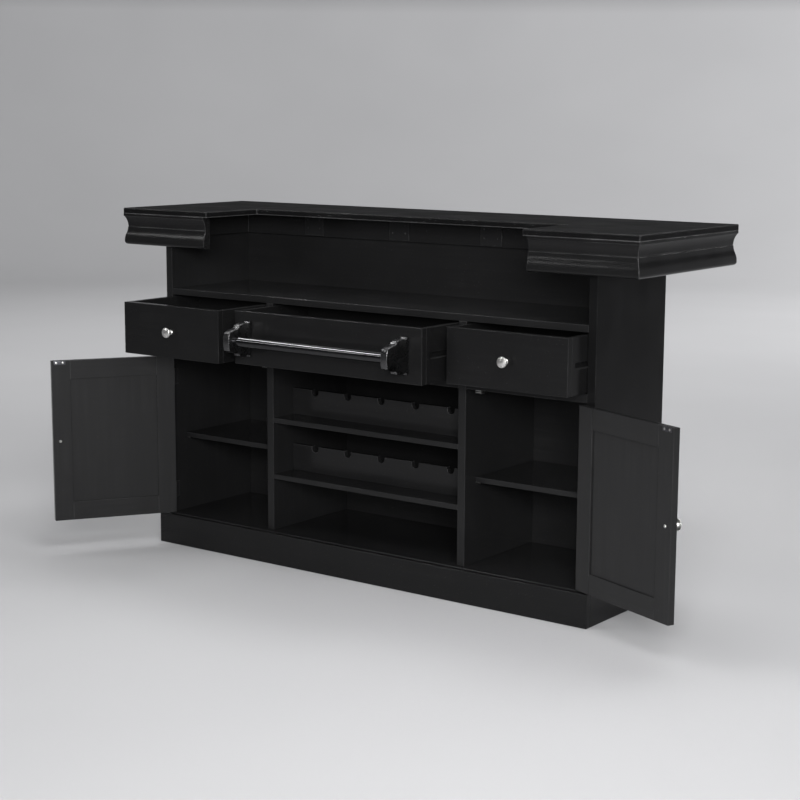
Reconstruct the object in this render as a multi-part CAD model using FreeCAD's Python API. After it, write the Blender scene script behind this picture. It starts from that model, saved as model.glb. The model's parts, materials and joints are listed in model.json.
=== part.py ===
"""Bar counter with shelves: a cabinet under a U-shaped top, worked from behind.

The frame: +X runs to the right as seen by the person serving, +Y points to the
customers and +Z is up. The origin is the middle of the base, on the floor.
Drawers and doors are built shut, then slid and swung out to where they rest.
Each sub-part is written to parts/NODE.step, in millimetres.
"""

import FreeCAD, Part
import math
import os

Vector = FreeCAD.Vector
UP = Vector(0, 0, 1)
CUSTOMER_WAY = Vector(0, 1, 0)
SERVING_WAY = Vector(0, -1, 0)
RIGHT_WAY = Vector(1, 0, 0)

# Whole counter
COUNTER_HEIGHT = 1067.0
CARCASS_LENGTH = 1570.0
CARCASS_DEPTH = 376.0

# Carcass boards
SIDE_THICKNESS = 25.0
DIVIDER_THICKNESS = 25.0
CUSTOMER_PANEL_THICKNESS = 16.0
FLOOR_THICKNESS = 18.0
FLOOR_ABOVE_PLINTH = 2.0
BEARER_THICKNESS = 25.0
WORK_SHELF_THICKNESS = 20.0
RAIL_THICKNESS = 25.0
RAIL_DEPTH = 60.0
SIDE_BAY_WIDTH = 392.0
NICHE_HEIGHT = 230.0
BOARD_EASE = 1.0

# Plinth
PLINTH_HEIGHT = 96.0
PLINTH_TOE = 37.0
PLINTH_FRONT_THICKNESS = 18.0
PLINTH_SKIRT = 10.0
PLINTH_EASE = 2.0

# Top: a strip along the customers, and an arm towards the server at each end
TOP_THICKNESS = 18.0
TOP_EASE = 3.0
END_OVERHANG = 145.0
CUSTOMER_OVERHANG = 147.0
SERVING_OVERHANG = 41.0
ARM_WIDTH = 357.0
STRIP_DEPTH = 331.0

# Moulding under the edges of the top: insets are from the edge of the top
MOULDING_THICKNESS = 30.0
MOULDING_END_INSET = 14.0
FILLET_INSET = 0.5
FILLET_HEIGHT = 8.0
COVE_TOP_INSET = 2.0
COVE_INSET = 10.5
COVE_HEIGHT = 31.0
COVE_HOLLOW = 2.2
QUIRK_DEPTH = 0.8
QUIRK_HEIGHT = 2.5
OGEE_TOP_INSET = 9.8
OGEE_INSET = 2.0
OGEE_HEIGHT = 43.0
BELLY_HEIGHT = 2.5
BOTTOM_ROUND = 10.0

# Cleats and angle brackets that hold the top in the niche
CLEAT_THICKNESS = 19.0
CLEAT_HEIGHT = 71.0
BRACKET_WIDTH = 75.0
BRACKET_LEG = 68.0
BRACKET_ARM = 32.0
BRACKET_GAUGE = 2.5
BRACKET_PITCH = 340.0
BRACKET_SHIFT = 50.0

# Shelves
BAY_SHELF_THICKNESS = 15.0
BAY_SHELF_CLEAR_BELOW = 236.0
BAY_SHELF_SETBACK = 52.5
BAY_SHELF_PLAY = 1.0
WINE_SHELF_THICKNESS = 15.0
WINE_TIERS = 3
PIN_RADIUS = 2.5
PIN_REACH = 8.0
PIN_DEPTH = 10.0
PIN_INSET = 12.0
PIN_DROP = 0.2

# Bottle neck rails
NECK_RAIL_HEIGHT = 82.0
NECK_RAIL_THICKNESS = 16.0
NECK_RAIL_SETBACK = 92.0
NECK_NOTCH_WIDTH = 26.0
NECK_NOTCH_DEPTH = 19.0
NECK_PITCH = 127.0

# Drawers
DRAWER_FRONT_HEIGHT = 157.5
DRAWER_FRONT_THICKNESS = 20.0
DRAWER_GAP = 2.0
DRAWER_HEAD_GAP = 5.0
DRAWER_FOOT_GAP = 2.5
DRAWER_REAR_GAP = 30.0
DRAWER_SIDE_THICKNESS = 14.0
DRAWER_BACK_THICKNESS = 12.0
DRAWER_BOTTOM_THICKNESS = 5.0
DRAWER_BOTTOM_RISE = 10.0
BOTTOM_GROOVE_DEPTH = 6.0
BOTTOM_GROOVE_PLAY = 0.2
LEFT_DRAWER_OUT = 213.0
CENTRE_DRAWER_OUT = 173.0
RIGHT_DRAWER_OUT = 98.0

# Drawer runners: strips on the carcass that lie in grooves of the drawer sides
GROOVE_HEIGHT = 18.0
GROOVE_DEPTH = 7.0
GROOVE_START = 34.0
RUNNER_TOP_PLAY = 0.3
RUNNER_BOTTOM_PLAY = 0.7
RUNNER_SIDE_PLAY = 0.5
RUNNER_REAR_GAP = 15.0

# Doors
DOOR_THICKNESS = 20.0
DOOR_HEAD_GAP = 2.5
DOOR_FREE_GAP = 2.0
DOOR_HINGE_GAP = 3.0
STILE_WIDTH = 58.0
DOOR_PANEL_THICKNESS = 8.0
DOOR_PANEL_RECESS = 5.0
PANEL_GROOVE_DEPTH = 8.0
PANEL_GROOVE_PLAY = 0.2
LEFT_DOOR_OPEN = 123.0
RIGHT_DOOR_OPEN = 158.0

# Butt hinges
HINGE_LENGTH = 51.0
HINGE_INSET = 70.0
LEAF_MARGIN = 2.0
LEAF_GAUGE = 1.2
KNUCKLE_RADIUS = 3.0
KNUCKLE_GAP = 0.4
KNUCKLE_STANDOFF = 0.3
HINGE_PIN_RADIUS = 1.5
HINGE_PIN_PLAY = 0.05
HINGE_PIN_HEAD_RADIUS = 2.4
HINGE_PIN_HEAD = 1.0

# Magnetic catches
STRIKE_LENGTH = 37.0
STRIKE_HEIGHT = 12.0
STRIKE_GAUGE = 1.0
STRIKE_EDGE_INSET = 7.0
STRIKE_TOP_INSET = 0.5
CATCH_DEPTH = 15.0
CATCH_HEIGHT = 14.0
CATCH_GAP = 0.5

# Knobs
KNOB_RADIUS = 15.5
KNOB_PROJECTION = 26.0
KNOB_BASE_RADIUS = 8.0
KNOB_NECK_RADIUS = 5.5
KNOB_NECK_HEIGHT = 7.5
KNOB_WAIST_HOLLOW = 1.3
KNOB_RIM = 8.0
KNOB_RIM_BOW = 1.0
KNOB_CROWN = 3.0
KNOB_DOOR_INSET = 22.0
SCREW_RADIUS = 2.0
SCREW_HOLE_RADIUS = 2.25
SCREW_HEAD_RADIUS = 4.5
SCREW_HEAD = 3.0
SCREW_BITE = 12.0
THREAD_PLAY = 0.05

# Towel bar
TOWEL_BAR_RADIUS = 15.0
TOWEL_BAR_STANDOFF = 70.0
TOWEL_BAR_DROP = 0.5
TOWEL_SOCKET_DEPTH = 10.0
TOWEL_SOCKET_PLAY = 0.1
TOWEL_BRACKET_THICKNESS = 22.0
TOWEL_BRACKET_INSET = 55.5
TOWEL_SCREW_SPACING = 70.0

# Places along X
CARCASS_HALF = CARCASS_LENGTH / 2
SIDE_INNER = CARCASS_HALF - SIDE_THICKNESS
DIVIDER_OUTER = SIDE_INNER - SIDE_BAY_WIDTH
DIVIDER_INNER = DIVIDER_OUTER - DIVIDER_THICKNESS
TOP_HALF = CARCASS_HALF + END_OVERHANG
BASE_HALF = CARCASS_HALF + PLINTH_SKIRT

# Places along Y
BASE_DEPTH = PLINTH_TOE + CARCASS_DEPTH + PLINTH_SKIRT
FRONT = PLINTH_TOE - BASE_DEPTH / 2
BACK = FRONT + CARCASS_DEPTH
PANEL_FACE = BACK - CUSTOMER_PANEL_THICKNESS
DRAWER_REAR = PANEL_FACE - DRAWER_REAR_GAP
TOE_BACK = FRONT - PLINTH_TOE + PLINTH_FRONT_THICKNESS
TOP_FRONT = FRONT - SERVING_OVERHANG
TOP_BACK = BACK + CUSTOMER_OVERHANG
NOTCH_BACK = TOP_BACK - STRIP_DEPTH

# Places along Z
TOP_UNDERSIDE = COUNTER_HEIGHT - TOP_THICKNESS
WORK_TOP = TOP_UNDERSIDE - NICHE_HEIGHT
WORK_UNDERSIDE = WORK_TOP - WORK_SHELF_THICKNESS
DRAWER_TOP = WORK_UNDERSIDE - DRAWER_HEAD_GAP
DRAWER_FOOT = DRAWER_TOP - DRAWER_FRONT_HEIGHT
DRAWER_MIDDLE = (DRAWER_TOP + DRAWER_FOOT) / 2
RAIL_TOP = DRAWER_FOOT - DRAWER_FOOT_GAP
RAIL_UNDERSIDE = RAIL_TOP - RAIL_THICKNESS
FLOOR_TOP = PLINTH_HEIGHT + FLOOR_ABOVE_PLINTH
FLOOR_UNDERSIDE = FLOOR_TOP - FLOOR_THICKNESS
BAY_HEIGHT = RAIL_UNDERSIDE - FLOOR_TOP
BAY_SHELF_UNDERSIDE = FLOOR_TOP + BAY_SHELF_CLEAR_BELOW
DOOR_FOOT = FLOOR_TOP + DOOR_HEAD_GAP
DOOR_TOP = RAIL_UNDERSIDE - DOOR_HEAD_GAP
DOOR_MIDDLE = (DOOR_FOOT + DOOR_TOP) / 2

# Door edges and hinge axis of the right-hand door when it is shut
DOOR_FREE_EDGE = DIVIDER_OUTER + DOOR_FREE_GAP
DOOR_HINGE_EDGE = SIDE_INNER - DOOR_HINGE_GAP
DOOR_BACK = FRONT + DOOR_THICKNESS
HINGE_X = SIDE_INNER - DOOR_HINGE_GAP / 2
HINGE_Y = FRONT - KNUCKLE_RADIUS - KNUCKLE_STANDOFF
HINGE_FEET = (DOOR_FOOT + HINGE_INSET - HINGE_LENGTH / 2, DOOR_TOP - HINGE_INSET - HINGE_LENGTH / 2)


def block(x0, x1, y0, y1, z0, z1):
    """Return a sharp-edged box between two corners."""
    return Part.makeBox(x1 - x0, y1 - y0, z1 - z0, Vector(x0, y0, z0))


def board(x0, x1, y0, y1, z0, z1, ease=BOARD_EASE):
    """Return a box with all of its edges eased to a small radius."""
    box = block(x0, x1, y0, y1, z0, z1)
    return box.makeFillet(ease, box.Edges)


def rod(radius, length, start, way):
    """Return a round rod from its start point along a direction."""
    return Part.makeCylinder(radius, length, start, way)


def mirrored(shape):
    """Return the shape's twin on the other side of the counter's middle."""
    return shape.mirror(Vector(0, 0, 0), RIGHT_WAY)


def both_sides(shape):
    """Return a shape on the right and its twin on the left."""
    return [shape, mirrored(shape)]


def group(solids):
    """Return separate solids as one shape."""
    return Part.makeCompound(solids)


def bowed_edge(start, end, bow):
    """Return a straight edge, or an arc whose middle lies bow to the left of the chord."""
    if not bow:
        return Part.LineSegment(start, end).toShape()
    chord = end.sub(start)
    aside = RIGHT_WAY.cross(chord).normalize()
    middle = start.add(end).multiply(0.5).add(aside.multiply(bow))
    return Part.Arc(start, middle, end).toShape()


def side_profile(corners):
    """Return a face in the YZ plane from (y, z, bow of the edge that leads here) corners."""
    points = [Vector(0, y, z) for y, z, _ in corners]
    edges = []
    for index, (_, _, bow) in enumerate(corners):
        edges.append(bowed_edge(points[index - 1], points[index], bow))
    return Part.Face(Part.Wire(Part.__sortEdges__(edges)))


# Carcass

def shelf_pin_centres(shelf_edge_x):
    """Return where the pins under a side bay's shelf leave the board at one end."""
    height = BAY_SHELF_UNDERSIDE - PIN_RADIUS - PIN_DROP
    front = FRONT + BAY_SHELF_SETBACK + PIN_INSET
    rear = PANEL_FACE - PIN_INSET
    return [Vector(shelf_edge_x, y, height) for y in (front, rear)]


def pin_holes(face_x, way):
    """Return the cutters for the shelf pin holes in one face of a board."""
    return [rod(PIN_RADIUS, PIN_DEPTH, centre, way) for centre in shelf_pin_centres(face_x)]


def side_panel():
    """Return the right-hand end of the carcass, from the floor to the top."""
    panel = board(SIDE_INNER, CARCASS_HALF, FRONT, BACK, 0, TOP_UNDERSIDE)
    return panel.cut(pin_holes(SIDE_INNER, RIGHT_WAY))


def divider():
    """Return the upright between the middle bay and the right-hand bay."""
    upright = board(DIVIDER_INNER, DIVIDER_OUTER, FRONT, PANEL_FACE, FLOOR_TOP, WORK_UNDERSIDE)
    return upright.cut(pin_holes(DIVIDER_OUTER, RIGHT_WAY.negative()))


def customer_panel():
    """Return the panel that closes the carcass towards the customers."""
    return board(-SIDE_INNER, SIDE_INNER, PANEL_FACE, BACK, 0, TOP_UNDERSIDE)


def cabinet_floor():
    """Return the bottom board, with a nose in front of the uprights up to the plinth."""
    inside = block(-SIDE_INNER, SIDE_INNER, FRONT, PANEL_FACE, FLOOR_UNDERSIDE, FLOOR_TOP)
    nose = block(-CARCASS_HALF, CARCASS_HALF, TOE_BACK, FRONT, FLOOR_UNDERSIDE, FLOOR_TOP)
    floor = inside.fuse(nose).removeSplitter()
    return floor.makeFillet(BOARD_EASE, floor.Edges)


def floor_bearers():
    """Return the boards on edge that carry the bottom board on the ground."""
    under_divider = (DIVIDER_INNER + DIVIDER_OUTER) / 2
    half = BEARER_THICKNESS / 2
    bearers = []
    for x in (-under_divider, 0, under_divider):
        bearers.append(board(x - half, x + half, TOE_BACK, PANEL_FACE, 0, FLOOR_UNDERSIDE))
    return group(bearers)


def drawer_rails():
    """Return the three rails between the drawers and the bays."""
    spans = [bay[:2] for bay in DRAWER_BAYS.values()]
    rear = FRONT + RAIL_DEPTH
    return group([board(x0, x1, FRONT, rear, RAIL_UNDERSIDE, RAIL_TOP) for x0, x1 in spans])


def work_shelf():
    """Return the shelf over the drawers, the floor of the niche."""
    return board(-SIDE_INNER, SIDE_INNER, FRONT, PANEL_FACE, WORK_UNDERSIDE, WORK_TOP)


def plinth_front():
    """Return the plinth board that stands forward on the serving side."""
    face = FRONT - PLINTH_TOE
    return board(-BASE_HALF, BASE_HALF, face, TOE_BACK, 0, PLINTH_HEIGHT, PLINTH_EASE)


def plinth_end():
    """Return the plinth board on the right-hand end."""
    return board(CARCASS_HALF, BASE_HALF, TOE_BACK, BACK, 0, PLINTH_HEIGHT, PLINTH_EASE)


def plinth_customer_side():
    """Return the plinth board towards the customers."""
    face = BACK + PLINTH_SKIRT
    return board(-BASE_HALF, BASE_HALF, BACK, face, 0, PLINTH_HEIGHT, PLINTH_EASE)


# Top

def top_slab():
    """Return the U-shaped top, its upper edges rounded and its lower ones eased."""
    strip = block(-TOP_HALF, TOP_HALF, NOTCH_BACK, TOP_BACK, TOP_UNDERSIDE, COUNTER_HEIGHT)
    inner = TOP_HALF - ARM_WIDTH
    arm = block(inner, TOP_HALF, TOP_FRONT, NOTCH_BACK, TOP_UNDERSIDE, COUNTER_HEIGHT)
    slab = strip.fuse(both_sides(arm)).removeSplitter()
    lower = slab.BoundBox.ZMin
    slab = slab.makeFillet(TOP_EASE, [e for e in slab.Edges if e.BoundBox.ZMax > lower + TOP_EASE])
    return slab.makeFillet(BOARD_EASE, [e for e in slab.Edges if e.BoundBox.ZMax < lower + TOP_EASE / 2])


def moulding_profile():
    """Return the moulding's section: a flat, a cove, a quirk, an ogee and a round foot."""
    flat_foot = -FILLET_HEIGHT
    cove_foot = flat_foot - COVE_HEIGHT
    ogee_top = cove_foot - QUIRK_HEIGHT
    ogee_waist = ogee_top - OGEE_HEIGHT / 2
    ogee_foot = ogee_top - OGEE_HEIGHT
    round_top = ogee_foot - BELLY_HEIGHT
    foot = round_top - BOTTOM_ROUND
    waist_inset = (OGEE_TOP_INSET + OGEE_INSET) / 2
    ogee_bow = (OGEE_TOP_INSET - OGEE_INSET) / 8
    round_bow = BOTTOM_ROUND * (1 - math.sqrt(0.5))
    return side_profile([
        (FILLET_INSET, 0, 0),
        (FILLET_INSET, flat_foot, 0),
        (COVE_TOP_INSET, flat_foot, 0),
        (COVE_INSET, cove_foot, COVE_HOLLOW),
        (COVE_INSET + QUIRK_DEPTH, cove_foot, 0),
        (COVE_INSET + QUIRK_DEPTH, ogee_top, 0),
        (OGEE_TOP_INSET, ogee_top, 0),
        (waist_inset, ogee_waist, ogee_bow),
        (OGEE_INSET, ogee_foot, -ogee_bow),
        (OGEE_INSET, round_top, 0),
        (OGEE_INSET + BOTTOM_ROUND, foot, -round_bow),
        (MOULDING_THICKNESS, foot, 0),
        (MOULDING_THICKNESS, 0, 0),
    ])


def moulding_run(length, mitre_start, mitre_end):
    """Return a run along +X from the origin that faces the server, mitred where asked."""
    run = moulding_profile().extrude(Vector(length, 0, 0))
    start = MOULDING_THICKNESS if mitre_start else 0
    end = MOULDING_THICKNESS if mitre_end else 0
    corners = [(0, 0), (length, 0), (length - end, MOULDING_THICKNESS), (start, MOULDING_THICKNESS)]
    depth = run.BoundBox.ZLength
    outline = Part.makePolygon([Vector(x, y, -depth) for x, y in corners + corners[:1]])
    return run.common(Part.Face(outline).extrude(UP * depth))


def set_moulding(run, start_x, start_y, turn):
    """Return a run turned about +Z and moved to its starting corner under the top."""
    run.rotate(Vector(0, 0, 0), UP, turn)
    run.translate(Vector(start_x, start_y, TOP_UNDERSIDE))
    return run


def moulding_customer_side():
    """Return the moulding under the customers' edge."""
    return set_moulding(moulding_run(2 * TOP_HALF, True, True), TOP_HALF, TOP_BACK, 180)


def moulding_end():
    """Return the moulding under the right-hand end of the top."""
    return set_moulding(moulding_run(TOP_BACK - TOP_FRONT, True, True), TOP_HALF, TOP_FRONT, 90)


def moulding_arm():
    """Return the short moulding under the front of the right-hand arm."""
    length = ARM_WIDTH - MOULDING_END_INSET
    return set_moulding(moulding_run(length, False, True), TOP_HALF - length, TOP_FRONT, 0)


def top_cleats():
    """Return the battens under the top, along the back and both ends of the niche."""
    foot = TOP_UNDERSIDE - CLEAT_HEIGHT
    face = PANEL_FACE - CLEAT_THICKNESS
    inner = SIDE_INNER - CLEAT_THICKNESS
    back = board(-inner, inner, face, PANEL_FACE, foot, TOP_UNDERSIDE)
    end = board(inner, SIDE_INNER, FRONT, PANEL_FACE, foot, TOP_UNDERSIDE)
    return group([back] + both_sides(end))


def top_brackets():
    """Return the steel angles between the back cleat and the underside of the top."""
    face = PANEL_FACE - CLEAT_THICKNESS
    room = SIDE_INNER - CLEAT_THICKNESS - BRACKET_WIDTH
    count = 1 + int(2 * room // BRACKET_PITCH)
    first = BRACKET_SHIFT - BRACKET_PITCH * (count - 1) / 2
    angles = []
    for index in range(count):
        x0 = first + index * BRACKET_PITCH - BRACKET_WIDTH / 2
        x1 = x0 + BRACKET_WIDTH
        leg = block(x0, x1, face - BRACKET_GAUGE, face, TOP_UNDERSIDE - BRACKET_LEG, TOP_UNDERSIDE)
        arm = block(x0, x1, face - BRACKET_ARM, face, TOP_UNDERSIDE - BRACKET_GAUGE, TOP_UNDERSIDE)
        angles.append(leg.fuse(arm).removeSplitter())
    return group(angles)


# Shelves

def bay_shelf():
    """Return the loose shelf of the right-hand bay."""
    x0 = DIVIDER_OUTER + BAY_SHELF_PLAY
    x1 = SIDE_INNER - BAY_SHELF_PLAY
    y0 = FRONT + BAY_SHELF_SETBACK
    y1 = PANEL_FACE - BAY_SHELF_PLAY
    return board(x0, x1, y0, y1, BAY_SHELF_UNDERSIDE, BAY_SHELF_UNDERSIDE + BAY_SHELF_THICKNESS)


def shelf_pins():
    """Return the pins under both loose shelves."""
    pins = []
    for face_x, inward in ((SIDE_INNER, -1), (DIVIDER_OUTER, 1)):
        for centre in shelf_pin_centres(face_x - inward * PIN_DEPTH):
            pins += both_sides(rod(PIN_RADIUS, PIN_DEPTH + PIN_REACH, centre, RIGHT_WAY * inward))
    return group(pins)


def wine_shelf_top(tier):
    """Return how high the top face of a wine shelf lies, counting tiers from the bottom."""
    clear = (BAY_HEIGHT - (WINE_TIERS - 1) * WINE_SHELF_THICKNESS) / WINE_TIERS
    return FLOOR_TOP + tier * (clear + WINE_SHELF_THICKNESS)


def wine_shelf(tier):
    """Return one fixed shelf of the middle bay."""
    top = wine_shelf_top(tier)
    foot = top - WINE_SHELF_THICKNESS
    return board(-DIVIDER_INNER, DIVIDER_INNER, FRONT, PANEL_FACE, foot, top)


def neck_rail(tier):
    """Return the upright rail on a wine shelf, notched for bottle necks."""
    foot = wine_shelf_top(tier)
    top = foot + NECK_RAIL_HEIGHT
    y0 = FRONT + NECK_RAIL_SETBACK
    y1 = y0 + NECK_RAIL_THICKNESS
    rail = board(-DIVIDER_INNER, DIVIDER_INNER, y0, y1, foot, top)
    radius = NECK_NOTCH_WIDTH / 2
    count = int(2 * DIVIDER_INNER // NECK_PITCH)
    notches = []
    for index in range(count):
        x = (index - (count - 1) / 2) * NECK_PITCH
        centre = Vector(x, y0, top - NECK_NOTCH_DEPTH + radius)
        notches.append(rod(radius, NECK_RAIL_THICKNESS, centre, CUSTOMER_WAY))
        notches.append(block(x - radius, x + radius, y0, y1, centre.z, top))
    return rail.cut(notches)


# Drawers, shut

DRAWER_BAYS = {
    "left": (-SIDE_INNER, -DIVIDER_OUTER, LEFT_DRAWER_OUT),
    "centre": (-DIVIDER_INNER, DIVIDER_INNER, CENTRE_DRAWER_OUT),
    "right": (DIVIDER_OUTER, SIDE_INNER, RIGHT_DRAWER_OUT),
}


def bottom_groove(x0, x1, y0, y1):
    """Return the cutter for the groove that holds a drawer's bottom."""
    foot = DRAWER_FOOT + DRAWER_BOTTOM_RISE
    return block(x0, x1, y0, y1, foot, foot + DRAWER_BOTTOM_THICKNESS + BOTTOM_GROOVE_PLAY)


def screw_hole(x, z, thickness):
    """Return the cutter for a screw hole through a front that stands at FRONT."""
    return rod(SCREW_HOLE_RADIUS, thickness, Vector(x, FRONT, z), CUSTOMER_WAY)


def drawer_front(x0, x1, screws):
    """Return a drawer's front, grooved for the bottom and bored for (x, z) screws."""
    rear = FRONT + DRAWER_FRONT_THICKNESS
    front = board(x0, x1, FRONT, rear, DRAWER_FOOT, DRAWER_TOP)
    inset = DRAWER_SIDE_THICKNESS - BOTTOM_GROOVE_DEPTH
    cutters = [bottom_groove(x0 + inset, x1 - inset, rear - BOTTOM_GROOVE_DEPTH, rear)]
    cutters += [screw_hole(x, z, DRAWER_FRONT_THICKNESS) for x, z in screws]
    return front.cut(cutters)


def drawer_side(outer, inward):
    """Return a drawer side from its outer face, grooved for the runner and the bottom."""
    inner = outer + inward * DRAWER_SIDE_THICKNESS
    x0, x1 = sorted((outer, inner))
    y0 = FRONT + DRAWER_FRONT_THICKNESS
    y1 = DRAWER_REAR
    side = board(x0, x1, y0, y1, DRAWER_FOOT, DRAWER_TOP)
    x0, x1 = sorted((inner, inner - inward * BOTTOM_GROOVE_DEPTH))
    floor_groove = bottom_groove(x0, x1, y0, y1)
    x0, x1 = sorted((outer, outer + inward * GROOVE_DEPTH))
    radius = GROOVE_HEIGHT / 2
    round_y = FRONT + GROOVE_START + radius
    run = block(x0, x1, round_y, y1, DRAWER_MIDDLE - radius, DRAWER_MIDDLE + radius)
    head = rod(radius, GROOVE_DEPTH, Vector(x0, round_y, DRAWER_MIDDLE), RIGHT_WAY)
    return side.cut([floor_groove, run, head])


def drawer_back(x0, x1):
    """Return a drawer's back, standing on the bottom between the sides."""
    y1 = DRAWER_REAR
    y0 = y1 - DRAWER_BACK_THICKNESS
    foot = DRAWER_FOOT + DRAWER_BOTTOM_RISE + DRAWER_BOTTOM_THICKNESS
    return board(x0 + DRAWER_SIDE_THICKNESS, x1 - DRAWER_SIDE_THICKNESS, y0, y1, foot, DRAWER_TOP)


def drawer_bottom(x0, x1):
    """Return a drawer's bottom, let into the front and the sides."""
    inset = DRAWER_SIDE_THICKNESS - BOTTOM_GROOVE_DEPTH
    y0 = FRONT + DRAWER_FRONT_THICKNESS - BOTTOM_GROOVE_DEPTH
    foot = DRAWER_FOOT + DRAWER_BOTTOM_RISE
    top = foot + DRAWER_BOTTOM_THICKNESS
    return block(x0 + inset, x1 - inset, y0, DRAWER_REAR, foot, top)


def drawer_runners():
    """Return the strips on the uprights that carry the drawers."""
    radius = GROOVE_HEIGHT / 2
    foot = DRAWER_MIDDLE - radius + RUNNER_BOTTOM_PLAY
    top = DRAWER_MIDDLE + radius - RUNNER_TOP_PLAY
    y0 = FRONT + GROOVE_START + radius + RUNNER_SIDE_PLAY
    y1 = PANEL_FACE - RUNNER_REAR_GAP
    reach = DRAWER_GAP + GROOVE_DEPTH - RUNNER_SIDE_PLAY
    strips = []
    for x0, x1, _ in DRAWER_BAYS.values():
        strips.append(board(x0, x0 + reach, y0, y1, foot, top))
        strips.append(board(x1 - reach, x1, y0, y1, foot, top))
    return group(strips)


# Knobs and towel bar

def pan_screw(x, z, thickness):
    """Return a screw from behind a front of the given thickness, its head inside."""
    head_seat = Vector(x, FRONT + thickness, z)
    shank = rod(SCREW_RADIUS, thickness + SCREW_BITE, head_seat, SERVING_WAY)
    head = rod(SCREW_HEAD_RADIUS, SCREW_HEAD, head_seat, CUSTOMER_WAY)
    rim = [edge for edge in head.Edges if edge.BoundBox.YMin > head_seat.y + SCREW_HEAD / 2]
    return head.makeFillet(SCREW_HEAD / 2, rim[:1]).fuse(shank).removeSplitter()


def threaded_bore(x, z):
    """Return the cutter for a screw's end in what stands in front of FRONT."""
    depth = SCREW_BITE + SCREW_RADIUS
    return rod(SCREW_RADIUS + THREAD_PLAY, depth, Vector(x, FRONT, z), SERVING_WAY)


def knob(x, z, thickness):
    """Return a round knob in front of FRONT with the screw that holds it."""
    shoulder = KNOB_PROJECTION - KNOB_CROWN
    crown_radius = KNOB_RADIUS - KNOB_CROWN
    crown_slope = math.atan2(KNOB_CROWN, crown_radius)
    crown_bow = math.hypot(crown_radius, KNOB_CROWN) / 2 * math.tan(crown_slope / 2)
    corners = [
        (0, 0, 0),
        (KNOB_BASE_RADIUS, 0, 0),
        (KNOB_NECK_RADIUS, KNOB_NECK_HEIGHT, KNOB_WAIST_HOLLOW),
        (KNOB_RADIUS, shoulder - KNOB_RIM / 2, KNOB_WAIST_HOLLOW),
        (crown_radius, shoulder, -KNOB_RIM_BOW),
        (0, KNOB_PROJECTION, -crown_bow),
    ]
    half = side_profile(corners)
    body = half.revolve(Vector(0, 0, 0), UP, 360)
    body.rotate(Vector(0, 0, 0), RIGHT_WAY, 90)
    body.translate(Vector(x, FRONT, z))
    return group([body.cut(threaded_bore(x, z)), pan_screw(x, z, thickness)])


def towel_bar_screws_at():
    """Return the (x, z) places of the screws that hold the towel bar's brackets."""
    reach = DIVIDER_INNER - DRAWER_GAP - TOWEL_BRACKET_INSET
    middle = DRAWER_MIDDLE - TOWEL_BAR_DROP
    half = TOWEL_SCREW_SPACING / 2
    return [(x, middle + z) for x in (-reach, reach) for z in (-half, half)]


def towel_bracket_profile():
    """Return the bracket's stepped outline, symmetrical above and below the bar."""
    upper = [
        (0, 52, 0),
        (-8, 52, 0),
        (-15, 46, 1.2),
        (-52, 45, -3.0),
        (-62, 35, 1.5),
        (-96, 26, -2.5),
    ]
    nose_bow = -4.0
    lower = [(y, -z, 0) for y, z, _ in reversed(upper)]
    bows = [nose_bow] + [bow for _, _, bow in reversed(upper[1:])]
    lower = [(y, z, bow) for (y, z, _), bow in zip(lower, bows)]
    return side_profile(upper + lower)


def towel_bar_brackets():
    """Return the brackets on the middle drawer, bored for the bar, with their screws."""
    x, _ = towel_bar_screws_at()[-1]
    middle = DRAWER_MIDDLE - TOWEL_BAR_DROP
    bracket = towel_bracket_profile().extrude(RIGHT_WAY * TOWEL_BRACKET_THICKNESS)
    bracket.translate(Vector(x - TOWEL_BRACKET_THICKNESS / 2, FRONT, middle))
    socket_start = Vector(x - TOWEL_BRACKET_THICKNESS / 2, FRONT - TOWEL_BAR_STANDOFF, middle)
    socket = rod(TOWEL_BAR_RADIUS + TOWEL_SOCKET_PLAY, TOWEL_SOCKET_DEPTH, socket_start, RIGHT_WAY)
    bores = [threaded_bore(x, z) for _, z in towel_bar_screws_at()[-2:]]
    screws = [pan_screw(x, z, DRAWER_FRONT_THICKNESS) for x, z in towel_bar_screws_at()]
    return group(both_sides(bracket.cut([socket] + bores)) + screws)


def towel_bar():
    """Return the bar between the brackets."""
    x, _ = towel_bar_screws_at()[-1]
    half = x - TOWEL_BRACKET_THICKNESS / 2 + TOWEL_SOCKET_DEPTH - TOWEL_SOCKET_PLAY
    start = Vector(-half, FRONT - TOWEL_BAR_STANDOFF, DRAWER_MIDDLE - TOWEL_BAR_DROP)
    return rod(TOWEL_BAR_RADIUS, 2 * half, start, RIGHT_WAY)


# Doors: the right-hand one, shut

def panel_groove(x0, x1, z0, z1):
    """Return the cutter for the groove that holds a door's panel."""
    y1 = DOOR_BACK - DOOR_PANEL_RECESS + PANEL_GROOVE_PLAY / 2
    y0 = y1 - DOOR_PANEL_THICKNESS - PANEL_GROOVE_PLAY
    return block(x0, x1, y0, y1, z0, z1)


def door_window():
    """Return the left, right, lower and upper limits of the opening in a door's frame."""
    return (
        DOOR_FREE_EDGE + STILE_WIDTH,
        DOOR_HINGE_EDGE - STILE_WIDTH,
        DOOR_FOOT + STILE_WIDTH,
        DOOR_TOP - STILE_WIDTH,
    )


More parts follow.
